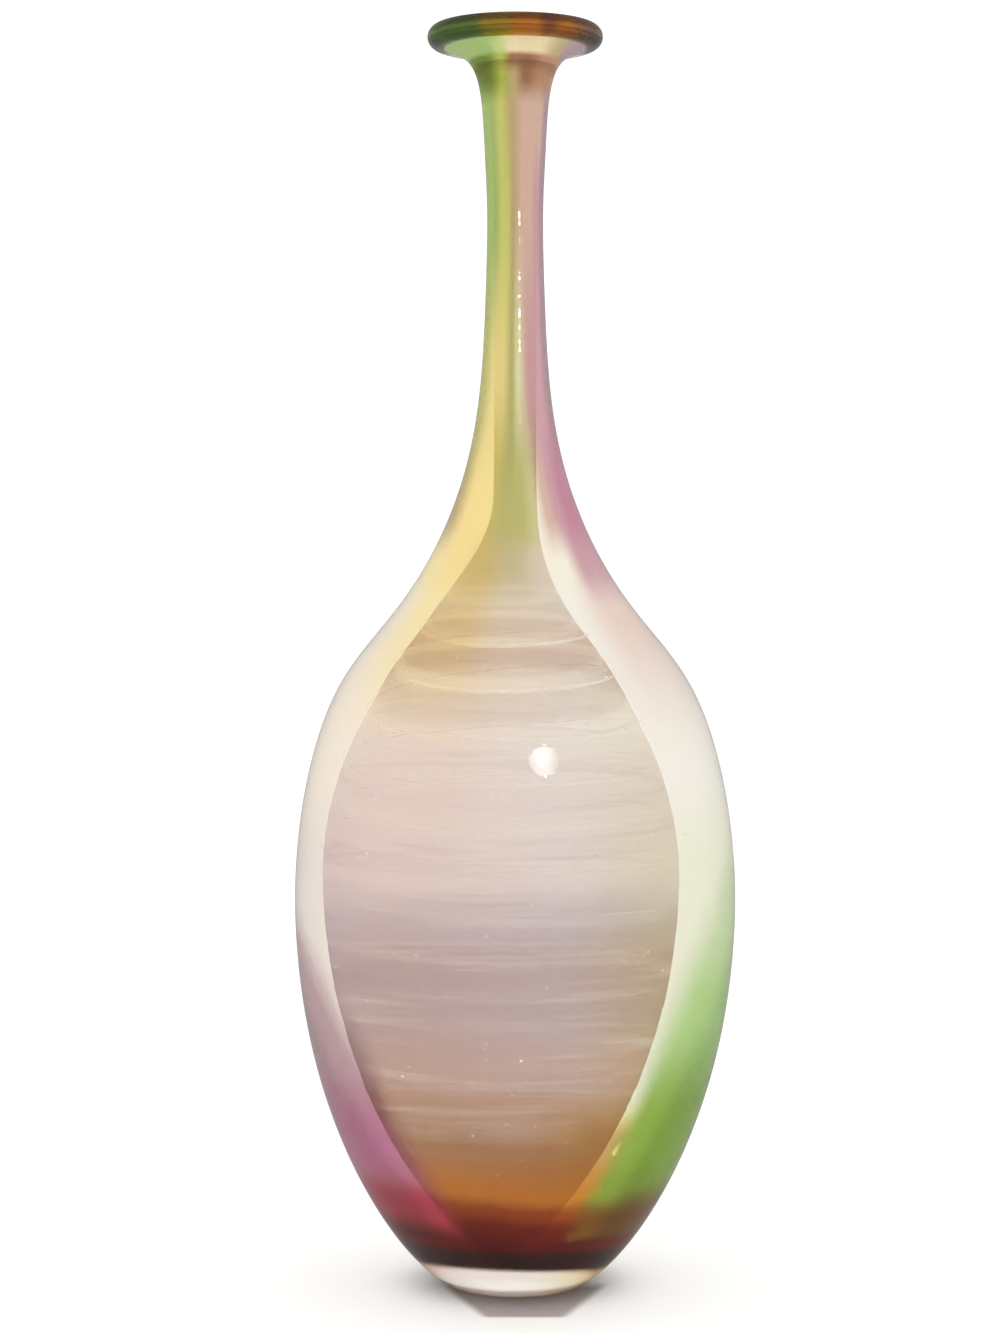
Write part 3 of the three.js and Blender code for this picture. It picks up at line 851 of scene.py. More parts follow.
def finish_glass(tree, sockets, inside=None, shade=NO_TINT):
    """Ends a tree in glass. The room's light goes through it to the floor and to what lies inside."""
    glass = {"Transmission Weight": 1.0, "Roughness": 0.0}
    shader = tree.add("ShaderNodeBsdfPrincipled", {**glass, **sockets}).outputs[0]
    if inside:
        other = tree.add("ShaderNodeBsdfPrincipled", {**glass, **inside}).outputs[0]
        side = tree.add("ShaderNodeNewGeometry").outputs["Backfacing"]
        shader = tree.add("ShaderNodeMixShader", {0: side, 1: shader, 2: other}).outputs[0]
    path = tree.add("ShaderNodeLightPath").outputs
    soft = tree.math("MAXIMUM", path["Is Shadow Ray"], path["Is Diffuse Ray"])
    through = tree.add("ShaderNodeBsdfTransparent", {"Color": with_alpha(shade)}).outputs[0]
    both = tree.add("ShaderNodeMixShader", {0: soft, 1: shader, 2: through}).outputs[0]
    tree.add("ShaderNodeOutputMaterial", {"Surface": both})


def clear_glass(colours):
    """Clear glass against air: fire polished, with a little waviness, ground under the foot, and with painted
    shade darkening its lowest rim.
    """
    material, tree = new_material("clear_glass")
    vector, x, y, z = tree.place()
    waves = tree.noise(vector, 14, 2)
    cords = tree.noise(vector, 30, 2, 0.4, (1, 1, 5))
    surface = tree.plus(waves, tree.times(cords, 0.15))
    bump = tree.add("ShaderNodeBump", {"Strength": 0.12, "Distance": 0.004, "Height": surface}).outputs[0]
    ground = tree.band(z, 0.0006, 0.0001)
    grain = tree.noise(vector, 2500, 2)
    rough = tree.times(ground, tree.plus(0.04, tree.times(grain, 0.12)))
    tint = tree.mix(tree.noise(vector, 9, 1), colours.clear, (1, 0.99, 0.975))
    # Painted contact shade: the lowest few millimetres are tinted dark, on top of the ground rim's roughness
    painted_rim_shade = tree.band(tree.plus(z, tree.times(grain, 0.0008)), 0.0042, 0.0022)
    tint = lip_edged(tree, colours, x, y, z, tree.mix(painted_rim_shade, tint, colours.ground), CASING_EDGE)
    sockets = {"Base Color": tint, "IOR": GLASS_IOR, "Roughness": rough, "Normal": bump}
    shade = tree.mix(tree.band(z, 0.012, 0.005), NO_TINT, FOOT_SHADE)
    finish_glass(tree, sockets, {"Base Color": tint, "IOR": FUSED_IOR}, shade)
    return material


def plain_glass(name, texture, first, second, lip_colours=None, sockets=None):
    """Glass that varies between two tints, with the lip's colours at its edge where they are given."""
    material, tree = new_material(name)
    vector, x, y, z = tree.place()
    tint = tree.mix(tree.noise(vector, *texture), first, second)
    if lip_colours:
        tint = lip_edged(tree, lip_colours, x, y, z, tint)
    finish_glass(tree, {"Base Color": tint, "IOR": FUSED_IOR, **(sockets or {})})
    return material


def fused_casing(colours):
    """The casing's inner face, where it is fused to the colours."""
    return plain_glass("fused_casing", (20, 2, 1.0, (1, 1, 0.3)), WATER_WHITE, (0.99, 0.99, 0.98), colours)


def fused_core(colours):
    """Where the core is fused to its neighbours: light goes straight on."""
    return plain_glass("fused_core", (24, 2, 1.0, (1, 1, 0.3)), WATER_WHITE, colours.clear, colours)


def seam_glass():
    """Where two colours meet edge to edge: clear, so that no line shows between them."""
    return plain_glass("seam_glass", (24, 2), NO_TINT, (0.995, 0.99, 0.985))


def bubble_face(colours):
    """The liner's face against the air inside."""
    return plain_glass("bubble_face", (25, 2, 0.2, (0.4, 0.4, 2)), NO_TINT, colours.clear)


def seed_glass(colours):
    """Tiny bubbles of air in the glass, mostly diffuse white: painted brightness in place of their glints."""
    # Painted highlight: the low transmission weight leaves the seeds mostly diffuse white, standing in for
    # the glints of air bubbles
    bright = {"IOR": GLASS_IOR, "Transmission Weight": 0.1}
    return plain_glass("seed_glass", (300, 1), NO_TINT, colours.opal, sockets=bright)


def lip_edged(tree, colours, x, y, z, tint, inmost=INNER_EDGE):
    """A tint that goes over into the lip's colours at its edge, fainter behind, with painted shade darkening
    the lip's top.
    """
    side, back, ring = sideways(tree, x, y)
    edge = tree.times(tree.band(ring, inmost, inmost + 0.001), tree.band(z, *LIP_HEIGHTS))
    edge = tree.times(edge, tree.slide(back, 0.0, 0.7, 1.0, 0.25))
    row = ramp(tree, side, colours, LIP_ROW)
    # Painted shade: the lip's top is darkened
    painted_crown = tree.mix(tree.band(z, *CROWN_HEIGHTS), NO_TINT, CROWN_SHADE)
    return tree.mix(edge, tint, tree.tinted(row, painted_crown))


def coloured_glass(name, tint_of):
    """A colour between two clear layers, with streaks where it is thicker."""
    material, tree = new_material(name)
    vector, x, y, z = tree.place()
    tint = tint_of(tree, vector, x, y, z)
    streaks = tree.noise(vector, 26, 4, 1.5, (1, 1, 0.22))
    streaky = tree.mix(tree.times(streaks, 0.25), tint, tree.tinted(tint, tint))
    shade = tree.mix(SHADE_SHARE, streaky, NO_TINT)
    finish_glass(tree, {"Base Color": streaky, "IOR": FUSED_IOR}, shade=shade)
    return material


def sideways(tree, x, y):
    """How far right (1) or left (-1) and how far back a place is on its ring of glass, and its radius."""
    ring = tree.math("SQRT", tree.plus(tree.times(x, x), tree.times(y, y)))
    return tree.math("DIVIDE", x, ring), tree.math("DIVIDE", y, ring), ring


def ramp(tree, value, colours, stops, end=None):
    """A colour ramp over a value, through stops of a place and a colour's name."""
    low, high = stops[0][0], end or stops[-1][0]
    node = tree.add("ShaderNodeValToRGB", {0: tree.slide(value, low, high)})
    node.color_ramp.interpolation = "EASE"
    elements = node.color_ramp.elements
    while len(elements) < len(stops):
        elements.new(1.0)
    for element, (place, name) in zip(elements, stops):
        element.position = (place - low) / (high - low)
        element.color = (*getattr(colours, name), 1.0)
    return node.outputs[0]


def stripes(colours, low, high):
    """The tint of a piece of the neck or the shoulder between two heights."""
    rows = [row for row in STRIPES if low - STRIPE_MARGIN < row[0] < high + STRIPE_MARGIN]

    def tint(tree, vector, x, y, z):
        side, back, ring = sideways(tree, x, y)
        out = tree.math("MAXIMUM", tree.minus(ring, NECK_RING), 0.0)
        height = tree.plus(z, tree.times(out, tree.band(z, 0.325, 0.335)))
        side = tree.plus(side, tree.times(tree.cloud(vector, 22, 2, 0.0, (1, 1, 0.4)), 0.12))
        result = above = None
        for row_height, named in rows:
            row = ramp(tree, side, colours, named)
            result = row if above is None else tree.mix(tree.band(height, above, row_height), result, row)
            above = row_height
        window = tree.plus(back, tree.times(tree.band(z, 0.300, 0.325), 0.45))
        return tree.mix(tree.band(window, *WINDOW), result, colours.thin)

    return tint


def by_height(colours, stops):
    """A tint that changes with height, from the lowest stop up. It is even at the foot and ragged above."""

    def tint(tree, vector, x, y, z):
        wobble = tree.times(tree.cloud(vector, 30, 3, 0.5), 0.008, tree.band(z, 0.012, 0.024))
        lean = tree.times(x, 0.03, tree.band(z, 0.030, 0.012))
        height = tree.plus(tree.plus(z, lean), wobble)
        return ramp(tree, height, colours, stops, stops[-1][0] + 1e-4)

    return tint


def base_tint(colours):
    """The red cup and the flames over it, darker in front than behind."""
    front, behind = by_height(colours, FRONT_HEIGHTS), by_height(colours, BACK_HEIGHTS)

    def tint(tree, vector, x, y, z):
        _, back, _ = sideways(tree, x, y)
        place = (tree, vector, x, y, z)
        result = tree.mix(tree.band(back, -0.1, 0.5), front(*place), behind(*place))
        return tree.mix(tree.band(x, 0.0, 0.020), result, tree.tinted(result, RIGHT_BASE_TINT))

    return tint


def body_tint(colours):
    """Everything between the red cup and the shoulder. The flanks deepen from their seams inwards."""
    base, belt = base_tint(colours), stripes(colours, *BELT_SPAN)
    flanks = {name: by_height(colours, stops) for name, stops in FLANK_HEIGHTS.items()}

    def tint(tree, vector, x, y, z):
        place = (tree, vector, x, y, z)
        result = tree.mix(tree.band(z, *BELT_HEIGHTS), base(*place), belt(*place))
        cloud = tree.cloud(vector, 40, 3, 0.8, (1, 1, 0.35))
        softness = tree.slide(z, 0.02, 0.09, 0.0035, 0.009)
        for name, flank in flanks.items():
            depth = tree.add("ShaderNodeAttribute", attribute_name=name).outputs["Fac"]
            ragged = tree.plus(depth, tree.times(cloud, 0.008))
            share = tree.math("DIVIDE", ragged, softness)
            glass = flank(*place)
            deep = tree.times(tree.band(share, 1.0, 3.0), 0.4)
            glass = tree.mix(deep, glass, tree.tinted(glass, glass))
            result = tree.mix(tree.band(share, -1.0, 1.0), result, glass)
        return result

    return tint


def smoke_tint(tree, colours, vector, x, z):
    """The liner's colours: beige smoke, a mauve cloud, taupe below and olive at the root of the neck."""
    height = tree.plus(z, tree.times(tree.cloud(vector, 16, 3, 0.6, (1, 1, 0.8)), 0.02))
    base = ramp(tree, height, colours, SMOKE_HEIGHTS)
    bulb = tree.times(tree.band(z, 0.19, 0.17), tree.band(z, 0.035, 0.06))
    left = tree.times(tree.band(x, 0.004, -0.016), bulb, 0.8)
    right = tree.times(tree.band(x, 0.008, 0.024), bulb)
    base = tree.mix(left, base, tree.tinted(base, LEFT_VEIL))
    side = tree.mix(tree.band(z, 0.110, 0.095), RIGHT_VEIL, LOW_RIGHT_VEIL)
    base = tree.mix(right, base, tree.tinted(base, side))
    lines = tree.noise(vector, 60, 3, 0.3, (0.22, 0.22, 4.6))
    fine = tree.noise(vector, 160, 3, 0.2, (0.15, 0.15, 8))
    strokes = tree.plus(tree.times(lines, 0.7), tree.times(fine, 0.3))
    pale = tree.times(tree.band(strokes, 0.50, 0.66), bulb)
    dark = tree.times(tree.band(strokes, 0.47, 0.33), bulb)
    base = tree.mix(tree.times(pale, 0.4), base, PALE_STROKE)
    wander = tree.times(tree.noise(vector, 14, 2), 0.004)
    turn = tree.times(tree.minus(tree.plus(z, wander), TRAIL_HEIGHT), 2 * math.pi / TRAIL_PITCH)
    trail = tree.times(tree.band(tree.math("COSINE", turn), 0.2, 1.0), tree.band(z, 0.146, 0.156))
    trail = tree.times(trail, tree.band(z, 0.190, 0.184), 0.5)
    base = tree.mix(trail, base, TRAIL_TINT)
    return tree.mix(tree.times(dark, 0.22), base, DARK_STROKE), pale


def liner_glass(colours):
    """The smoky liner, where it is fused to the core, with a thin milky veil."""
    material, tree = new_material("smoke_glass")
    vector, x, _, z = tree.place()
    tint, pale = smoke_tint(tree, colours, vector, x, z)
    milk = tree.plus(0.04, tree.times(pale, 0.08))
    milk = tree.times(milk, tree.band(z, 0.21, 0.18), tree.band(z, 0.025, 0.045))
    sockets = {"Base Color": tint, "IOR": FUSED_IOR, "Transmission Weight": tree.minus(1.0, milk)}
    finish_glass(tree, sockets, shade=tree.mix(SHADE_SHARE, tint, NO_TINT))
    return material


def opal_glass(colours):
    """Milky white glass, a little thinner in places."""
    material, tree = new_material("opal_glass")
    vector, _, _, z = tree.place()
    thin = tree.noise(vector, 45, 3)
    tint = tree.mix(thin, colours.opal, (0.99, 0.97, 0.94))
    weight = tree.plus(0.6, tree.times(tree.band(thin, 0.35, 0.7), 0.28))
    weight = tree.plus(weight, tree.times(tree.band(z, 0.160, 0.140), 0.1))
    finish_glass(tree, {"Base Color": tint, "IOR": FUSED_IOR, "Transmission Weight": weight})
    return material


class VASE_OT_clear_casing(bpy.types.Operator):
    """Turns the outer gather of clear glass: wall, foot and rounded lip"""

    bl_idname = "vase.clear_casing"
    bl_label = "Clear Casing"

    def execute(self, context):
        colours, made = context.scene.vase_colours, plan()
        outer = np.concatenate((made.outside.outline(), made.rim_outline()))
        materials = [clear_glass(colours), fused_casing(colours)]
        piece = turned("casing", outer, made.casing_inside.outline(), materials)
        seat(piece, "clear_glass", "clear_casing")
        return {"FINISHED"}


class VASE_OT_core_gather(bpy.types.Operator):
    """Turns the thick clear glass between the colours and the smoky liner"""

    bl_idname = "vase.core_gather"
    bl_label = "Core Gather"

    def execute(self, context):
        colours, made = context.scene.vase_colours, plan()
        outer, inner = made.core_outside.outline(), made.core_inside.outline()
        piece = turned("core", outer, inner, [fused_core(colours)], (None, made.drift))
        seat(piece, "clear_glass", "core_gather")
        return {"FINISHED"}


class VASE_OT_smoke_liner(bpy.types.Operator):
    """Turns the thin smoky glass round the bubble"""

    bl_idname = "vase.smoke_liner"
    bl_label = "Smoky Liner"

    def execute(self, context):
        colours, made = context.scene.vase_colours, plan()
        outer, inner = made.liner_outside.outline(), made.bubble.outline()
        materials = [liner_glass(colours), bubble_face(colours)]
        piece = turned("liner", outer, inner, materials, (made.drift, made.drift))
        seat(piece, "smoke_glass", "smoke_liner")
        return {"FINISHED"}


def grown(name, make_tree, inputs, material):
    """A plain mesh made by a Geometry Nodes tree with named inputs."""
    group = bpy.data.node_groups.new(name, "GeometryNodeTree")
    group.interface.new_socket("Geometry", in_out="OUTPUT", socket_type="NodeSocketGeometry")
    kinds = {float: "NodeSocketFloat", int: "NodeSocketInt", bpy.types.Object: "NodeSocketObject"}
    sockets = {}
    for key, value in inputs.items():
        sockets[key] = group.interface.new_socket(key, in_out="INPUT", socket_type=kinds[type(value)])
    tree = Tree(group)
    given = tree.add("NodeGroupInput").outputs
    geometry = make_tree(tree, given)
    geometry = tree.add("GeometryNodeRealizeInstances", {0: geometry}).outputs[0]
    geometry = tree.add("GeometryNodeSetShadeSmooth", {0: geometry}).outputs[0]
    geometry = tree.add("GeometryNodeSetMaterial", {0: geometry, "Material": material}).outputs[0]
    tree.add("NodeGroupOutput", {0: geometry})
    base = link(bpy.data.objects.new(f"{name}_base", bpy.data.meshes.new(f"{name}_base")))
    modifier = base.modifiers.new(name, "NODES")
    modifier.node_group = group
    for key, value in inputs.items():
        modifier[sockets[key].identifier] = value
    made = base.evaluated_get(bpy.context.evaluated_depsgraph_get())
    mesh = bpy.data.meshes.new_from_object(made)
    if not mesh.polygons:
        raise RuntimeError(f"{name} came out empty")
    piece = link(bpy.data.objects.new(name, mesh))
    bpy.data.objects.remove(base)
    return piece


def wind_thread(tree, given):
    """A spiral that is laid on the liner from outside, thinner below and behind."""
    rise = tree.minus(given["End Height"], given["Start Height"])
    spiral = tree.add("GeometryNodeCurveSpiral", {
        "Resolution": THREAD_STEPS, "Rotations": given["Turns"], "Height": rise,
        "Start Radius": THREAD_GUIDE_RADIUS, "End Radius": THREAD_GUIDE_RADIUS,
    }).outputs[0]
    spiral = tree.moved(spiral, tree.upward(given["Start Height"]))
    at = tree.add("GeometryNodeInputPosition").outputs[0]
    slope = tree.math("DIVIDE", tree.math("DIVIDE", rise, given["Turns"]), 2 * math.pi * THREAD_GUIDE_RADIUS)
    spiral = tree.moved(spiral, tree.upward(tree.times(tree.parts(at)[0], slope)))
    inward = tree.add("ShaderNodeVectorMath", {0: at, 1: (-1, -1, 0)}, operation="MULTIPLY").outputs[0]
    liner = tree.add("GeometryNodeObjectInfo", {"Object": given["Liner"]}).outputs["Geometry"]
    hit = tree.add("GeometryNodeRaycast", {
        "Target Geometry": liner, "Source Position": at, "Ray Direction": inward, "Ray Length": 0.2,
    }).outputs
    sockets = {0: hit["Hit Position"], 1: tree.scaled(hit["Hit Normal"], given["Clearance"])}
    laid = tree.add("ShaderNodeVectorMath", sockets, operation="ADD").outputs[0]
    sockets = {"Geometry": spiral, "Selection": hit["Is Hit"], "Position": laid}
    spiral = tree.add("GeometryNodeSetPosition", sockets).outputs[0]
    along = tree.add("GeometryNodeSplineParameter").outputs["Factor"]
    front = tree.slide(tree.parts(at)[1], 0.006, -0.012, 0.2, 1.0)
    growth = tree.plus(0.12, tree.times(tree.math("POWER", along, 4.0), 2.4))
    ends = tree.band(tree.times(along, tree.minus(1.0, along)), 0.0, 0.02)
    uneven = tree.plus(0.6, tree.times(tree.noise(at, 60, 2), 0.8))
    radius = tree.math("MAXIMUM", tree.times(front, growth, uneven, ends, given["Radius"]), 1e-5)
    sockets = {"Resolution": THREAD_SIDES, "Radius": 1.0}
    profile = tree.add("GeometryNodeCurvePrimitiveCircle", sockets).outputs[0]
    spiral = tree.add("GeometryNodeSetCurveRadius", {"Curve": spiral, "Radius": radius}).outputs[0]
    node = tree.add("GeometryNodeCurveToMesh", {"Curve": spiral, "Profile Curve": profile, "Fill Caps": True})
    if "Scale" in node.inputs:
        tree.tree.links.new(tree.add("GeometryNodeInputRadius").outputs[0], node.inputs["Scale"])
    return node.outputs[0]


def scatter_seeds(tree, given):
    """Tiny bubbles, strewn over the liner and lifted off it by different amounts."""
    liner = tree.add("GeometryNodeObjectInfo", {"Object": given["Liner"]}).outputs["Geometry"]
    scatter = tree.add("GeometryNodeDistributePointsOnFaces", {
        "Mesh": liner, "Density": given["Density"], "Seed": given["Seed"],
    }).outputs
    z = tree.parts(tree.add("GeometryNodeInputPosition").outputs[0])[2]
    above, below = tree.math("GREATER_THAN", z, given["Lowest"]), tree.math("LESS_THAN", z, given["Highest"])
    sockets = {2: given["Least Lift"], 3: given["Lift"], "Seed": given["Seed"]}
    lift = tree.add("FunctionNodeRandomValue", sockets).outputs[1]
    points = tree.moved(scatter["Points"], tree.scaled(scatter["Normal"], lift))
    ball = tree.add("GeometryNodeMeshIcoSphere", {"Radius": given["Radius"], "Subdivisions": 3}).outputs[0]
    size = tree.add("FunctionNodeRandomValue", {2: 0.3, 3: 1.0, "Seed": 7}).outputs[1]
    return tree.add("GeometryNodeInstanceOnPoints", {
        "Points": points, "Selection": tree.times(above, below), "Instance": ball, "Scale": size,
    }).outputs[0]


class VASE_OT_opal_thread(bpy.types.Operator):
    """Winds the milky thread round the liner"""

    bl_idname = "vase.opal_thread"
    bl_label = "Opal Thread"

    def execute(self, context):
        made = plan()
        layers, bubble = made.layers, made.bubble
        inputs = {
            "Liner": bpy.data.objects["liner"],
            "Start Height": bubble.floor + (bubble.widest - bubble.floor) * THREAD_START_SHARE,
            "End Height": bubble.widest + (bubble.waist - bubble.widest) * THREAD_END_SHARE,
            "Turns": float(layers.thread_turns),
            "Radius": layers.thread_radius,
            "Clearance": 2 * layers.thread_radius,
        }
        piece = grown("thread", wind_thread, inputs, opal_glass(context.scene.vase_colours))
        seat(piece, "opal_glass", "opal_thread")
        return {"FINISHED"}


class VASE_OT_seeds(bpy.types.Operator):
    """Strews the tiny bubbles that hand-blown glass has"""

    bl_idname = "vase.seeds"
    bl_label = "Seeds"

    def execute(self, context):
        layers = context.scene.vase_layers
        inputs = {
            "Liner": bpy.data.objects["liner"],
            "Density": layers.seed_density,
            "Seed": 11,
            "Lowest": layers.seeds_lowest,
            "Highest": layers.seeds_highest,
            "Least Lift": layers.seeds_least_lift,
            "Lift": layers.core_wall / 2,
            "Radius": layers.seed_radius,
        }
        piece = grown("seeds", scatter_seeds, inputs, seed_glass(context.scene.vase_colours))
        seat(piece, "opal_glass")
        return {"FINISHED"}


class VASE_OT_colour_layer(bpy.types.Operator):
    """Lays the coloured glasses between the core and the casing"""

    bl_idname = "vase.colour_layer"
    bl_label = "Colours"

    def execute(self, context):
        colours, made = context.scene.vase_colours, plan()
        layers = made.layers
        layer = Layer(made.colour_outside.outline(), made.colour_inside.outline())
        reach = made.shape.body_radius
        gap = layers.fused_seam / 4
        foot = layers.ruby_height - gap
        point = made.up_shoulder(SHOULDER_POINT_SHARE)
        violet, green, yellow, lilac = (
            layer.seam(start, (side * reach, made.up_shoulder(tip)), bend)
            for start, side, tip, bend in (
                ((-layers.violet_foot_radius, foot), -1, VIOLET_TIP_SHARE, VIOLET_BEND_SHARES),
                ((layers.green_foot_radius, foot), 1, GREEN_TIP_SHARE, GREEN_BEND_SHARES),
                ((0, point), -1, YELLOW_TIP_SHARE, SHOULDER_BEND_SHARES),
                ((0, point), 1, LILAC_TIP_SHARE, SHOULDER_BEND_SHARES),
            )
        )
        ruby_top = layer.at_height(layers.ruby_height)
        amber_top = layer.at_height(layers.amber_height)
        neck_foot = layer.at_height(made.up_shoulder(NECK_SEAM_SHARE))

        def on_seam(azimuth, seam):
            """The length of a seam at an azimuth, from either side of the vase."""
            folded = np.arcsin(np.abs(np.sin(azimuth)))
            order = np.argsort(np.abs(seam[0]))
            return np.interp(folded, np.abs(seam[0])[order], seam[1][order])

        def lower_edge(azimuth, rest):
            """The seam of the flank on that side, and rest where there is no flank."""
            left = np.sin(azimuth) < 0
            on_flank = np.where(left, on_seam(azimuth, violet), on_seam(azimuth, green))
            return np.maximum(on_flank, rest)

        def flank(seam, side):
            start = np.abs(seam[0]).min() + FLANK_GAP
            return side * np.linspace(start, math.pi - start, FLANK_COLUMNS)[::side]

        def depth_in(seam, side):
            """How deep places lie inside a flank, in front or behind. It is negative outside it."""
            edge = layer.place(*seam, False)[::4]

            def depth(azimuth, along):
                folded = np.arcsin(np.sin(azimuth))
                place = layer.place(folded, along, False)
                gap = np.min([np.linalg.norm(place - point, axis=-1) for point in edge], axis=0)
                within = (side * folded > 0) & (along < on_seam(azimuth, seam))
                return np.where(within, gap, -gap)

            return depth

        depths = {"violet": depth_in(violet, -1), "green": depth_in(green, 1)}
        edge_glass = seam_glass()

        def make(name, node, slot, azimuths, low, high, tint):
            materials = [coloured_glass(slot, tint), edge_glass]
            piece = patch(name, layer, azimuths, low + gap, high - gap, materials, depths)
            seat(piece, slot, node)

        around = np.linspace(-math.pi, math.pi, AROUND + 1)
        full = np.ones(len(around))
        base = base_tint(colours)
        make("ruby_cup", "ruby_base_cup", "ruby_glass", around, full * AXIS_GAP, full * ruby_top, base)
        body = body_tint(colours)
        left, right = flank(violet, -1), flank(green, 1)
        low = np.full(FLANK_COLUMNS, ruby_top)
        make("violet_band", "violet_flank_band", "violet_glass", left, low, on_seam(left, violet), body)
        make("green_band", "green_flank_band", "green_glass", right, low, on_seam(right, green), body)
        edges = [np.interp(amber_top, s[1], np.abs(s[0])) for s in (violet, green)]
        high = np.full(HALF_COLUMNS, amber_top)
        for name, node, middle, turn in (
            ("amber_flame_fronts", "amber_flame_front", 0, 1),
            ("amber_flame_backs", "amber_flame_back", math.pi, -1),
        ):
            span = middle + turn * np.linspace(-edges[0], edges[1], HALF_COLUMNS)[::turn]
            make(name, node, "amber_glass", span, lower_edge(span, ruby_top), high, body)
        low = lower_edge(around, amber_top)
        high = np.where(np.sin(around) < 0, on_seam(around, yellow), on_seam(around, lilac))
        make("belt", "pale_belt", "ivory_glass", around, low, high, body)
        right = np.linspace(SIDE_GAP, math.pi - SIDE_GAP, HALF_COLUMNS)
        left = -right[::-1]
        low, high = np.full(HALF_COLUMNS, neck_foot), np.full(HALF_COLUMNS, layer.tip)
        for name, node, slot, span, seam in (
            ("yellow_shoulder", "yellow_shoulder_band", "yellow_glass", left, yellow),
            ("lilac_shoulder", "lilac_shoulder_band", "lilac_glass", right, lilac),
        ):
            make(name, node, slot, span, on_seam(span, seam), low, stripes(colours, *SHOULDER_SPAN))
        for name, node, slot, span in (
            ("green_neck", "green_neck_band", "olive_glass", left),
            ("rose_neck", "rose_neck_band", "rose_glass", right),
        ):
            make(name, node, slot, span, low, high, stripes(colours, *NECK_SPAN))
        return {"FINISHED"}


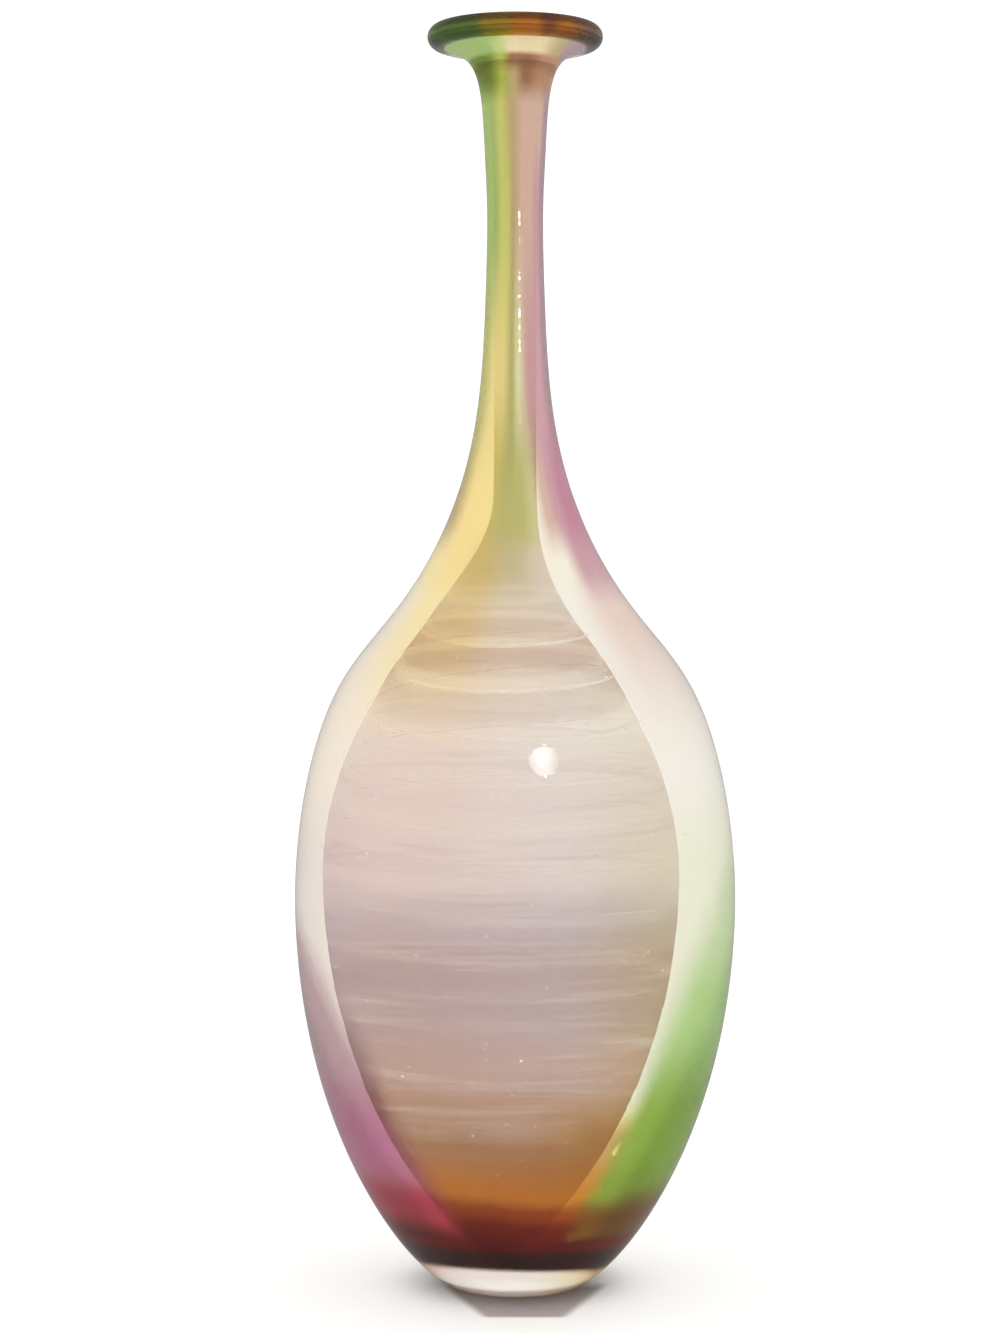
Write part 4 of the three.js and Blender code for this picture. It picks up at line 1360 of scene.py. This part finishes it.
class VASE_OT_stage(bpy.types.Operator):
    """Sets the pale floor, the white room, the lights and the camera"""

    bl_idname = "vase.stage"
    bl_label = "Stage"

    def execute(self, context):
        scene = context.scene
        studio = scene.vase_studio
        self.make_floor(studio)
        self.make_sky(scene, studio)
        self.make_lamps(studio)
        self.make_camera(scene, studio)
        scene.view_settings.view_transform = "Standard"
        scene.cycles.max_bounces = GLASS_BOUNCES
        scene.cycles.transmission_bounces = GLASS_BOUNCES
        scene.cycles.transparent_max_bounces = GLASS_BOUNCES
        scene.cycles.glossy_bounces = 12
        scene.cycles.diffuse_bounces = 4
        scene.cycles.sample_clamp_indirect = 6
        return {"FINISHED"}

    def make_floor(self, studio):
        """A floor that fades into the white room, with a short grey painted shadow in front of the foot."""
        edge = studio.floor_size / 2
        drop = -studio.floor_drop
        corners = [(-edge, -edge, drop), (edge, -edge, drop), (edge, edge, drop), (-edge, edge, drop)]
        material, tree = new_material("pale_floor")
        vector, x, y, _ = tree.place()
        paint = tree.mix(tree.noise(vector, 3, 4), (0.96, 0.96, 0.95), (0.98, 0.975, 0.965))
        grain = tree.noise(vector, 900, 2)
        bump = tree.add("ShaderNodeBump", {"Strength": 0.05, "Distance": 0.0005, "Height": grain}).outputs[0]
        # Painted shadow: the floor's colour is greyed in a tapering patch in front of the foot
        aside = tree.math("ABSOLUTE", tree.minus(x, SHADOW_SHIFT))
        aside = tree.minus(aside, tree.times(y, SHADOW_TAPER))
        shadow = tree.times(
            tree.band(aside, SHADOW_WIDTH, SHADOW_WIDTH - SHADOW_SIDE_BLUR),
            tree.band(y, -SHADOW_REACH, SHADOW_END_BLUR - SHADOW_REACH), tree.band(y, 0.0, -0.010),
        )
        paint = tree.mix(shadow, paint, SHADOW_TINT)
        paint = tree.mix(tree.mirrored(), paint, (studio.reflected_share,) * 3)
        near = tree.add("ShaderNodeBsdfPrincipled", {"Base Color": paint, "Roughness": 0.7, "Normal": bump})
        far = tree.add("ShaderNodeEmission", {"Color": ROOM_WHITE, "Strength": self.room_light(tree, studio)})
        away = tree.band(sideways(tree, x, y)[2], *FLOOR_FADE)
        floor = tree.add("ShaderNodeMixShader", {0: away, 1: near.outputs[0], 2: far.outputs[0]})
        tree.add("ShaderNodeOutputMaterial", {"Surface": floor.outputs[0]})
        floor = new_piece("floor", corners, [(0, 1, 2, 3)], [material])

    def room_light(self, tree, studio):
        """The white room's brightness, less where the glass mirrors it."""
        full = studio.sky_strength
        return tree.slide(tree.mirrored(), 0.0, 1.0, full, full * studio.reflected_share)

    def make_sky(self, scene, studio):
        world = bpy.data.worlds.new("white_room")
        world.use_nodes = True
        world.node_tree.nodes.clear()
        tree = Tree(world.node_tree)
        sockets = {"Color": ROOM_WHITE, "Strength": self.room_light(tree, studio)}
        background = tree.add("ShaderNodeBackground", sockets)
        tree.add("ShaderNodeOutputWorld", {"Surface": background.outputs[0]})
        scene.world = world

    def make_lamps(self, studio):
        """A flash and a narrow beam, for the glints on the neck and the body and for nothing else."""
        for name, widening, spread in (("flash", 1, WIDE_SPREAD), ("glow", GLOW_WIDENING, NARROW_SPREAD)):
            radius, power, height, aim_height = (
                getattr(studio, f"{name}_{key}") for key in ("radius", "power", "height", "aim")
            )
            light = bpy.data.lights.new(name, "AREA")
            light.shape = "ELLIPSE"
            light.size, light.size_y = 2 * radius * widening, 2 * radius
            light.energy = power
            light.spread = spread
            place = (studio.lamp_right, -studio.lamp_front, height)
            lamp = aimed(name, light, place, (0, 0, aim_height))
            lamp.visible_diffuse = False
            lamp.visible_transmission = False

    def make_camera(self, scene, studio):
        data = bpy.data.cameras.new("camera")
        data.lens = studio.lens
        data.sensor_width = 36
        place = (0, -studio.camera_distance, studio.camera_height)
        scene.camera = aimed("camera", data, place, (-studio.aim_left, 0, studio.aim_height))


OPERATORS = (
    VASE_OT_clear_casing,
    VASE_OT_core_gather,
    VASE_OT_smoke_liner,
    VASE_OT_opal_thread,
    VASE_OT_seeds,
    VASE_OT_colour_layer,
    VASE_OT_stage,
)


class VASE_PT_panel(bpy.types.Panel):
    """Lists the steps that build the vase"""

    bl_idname = "VASE_PT_panel"
    bl_label = "Bottle Vase"
    bl_space_type = "VIEW_3D"
    bl_region_type = "UI"
    bl_category = "Vase"

    def draw(self, context):
        for operator in OPERATORS:
            self.layout.operator(operator.bl_idname)
        for group in ("vase_shape", "vase_layers", "vase_colours", "vase_studio"):
            box = self.layout.box()
            settings = getattr(context.scene, group)
            for key in type(settings).__annotations__:
                box.prop(settings, key)


GROUPS = {
    "vase_shape": VaseShape,
    "vase_layers": VaseLayers,
    "vase_colours": VaseColours,
    "vase_studio": VaseStudio,
}


def register():
    for cls in (*GROUPS.values(), *OPERATORS, VASE_PT_panel):
        bpy.utils.register_class(cls)
    for key, cls in GROUPS.items():
        setattr(bpy.types.Scene, key, PointerProperty(type=cls))


def unregister():
    for key in GROUPS:
        delattr(bpy.types.Scene, key)
    for cls in (VASE_PT_panel, *OPERATORS[::-1], *list(GROUPS.values())[::-1]):
        bpy.utils.unregister_class(cls)


def main():
    register()
    bpy.ops.vase.clear_casing()
    bpy.ops.vase.core_gather()
    bpy.ops.vase.smoke_liner()
    bpy.ops.vase.opal_thread()
    bpy.ops.vase.seeds()
    bpy.ops.vase.colour_layer()
    bpy.ops.vase.stage()


if __name__ == "__main__":
    main()
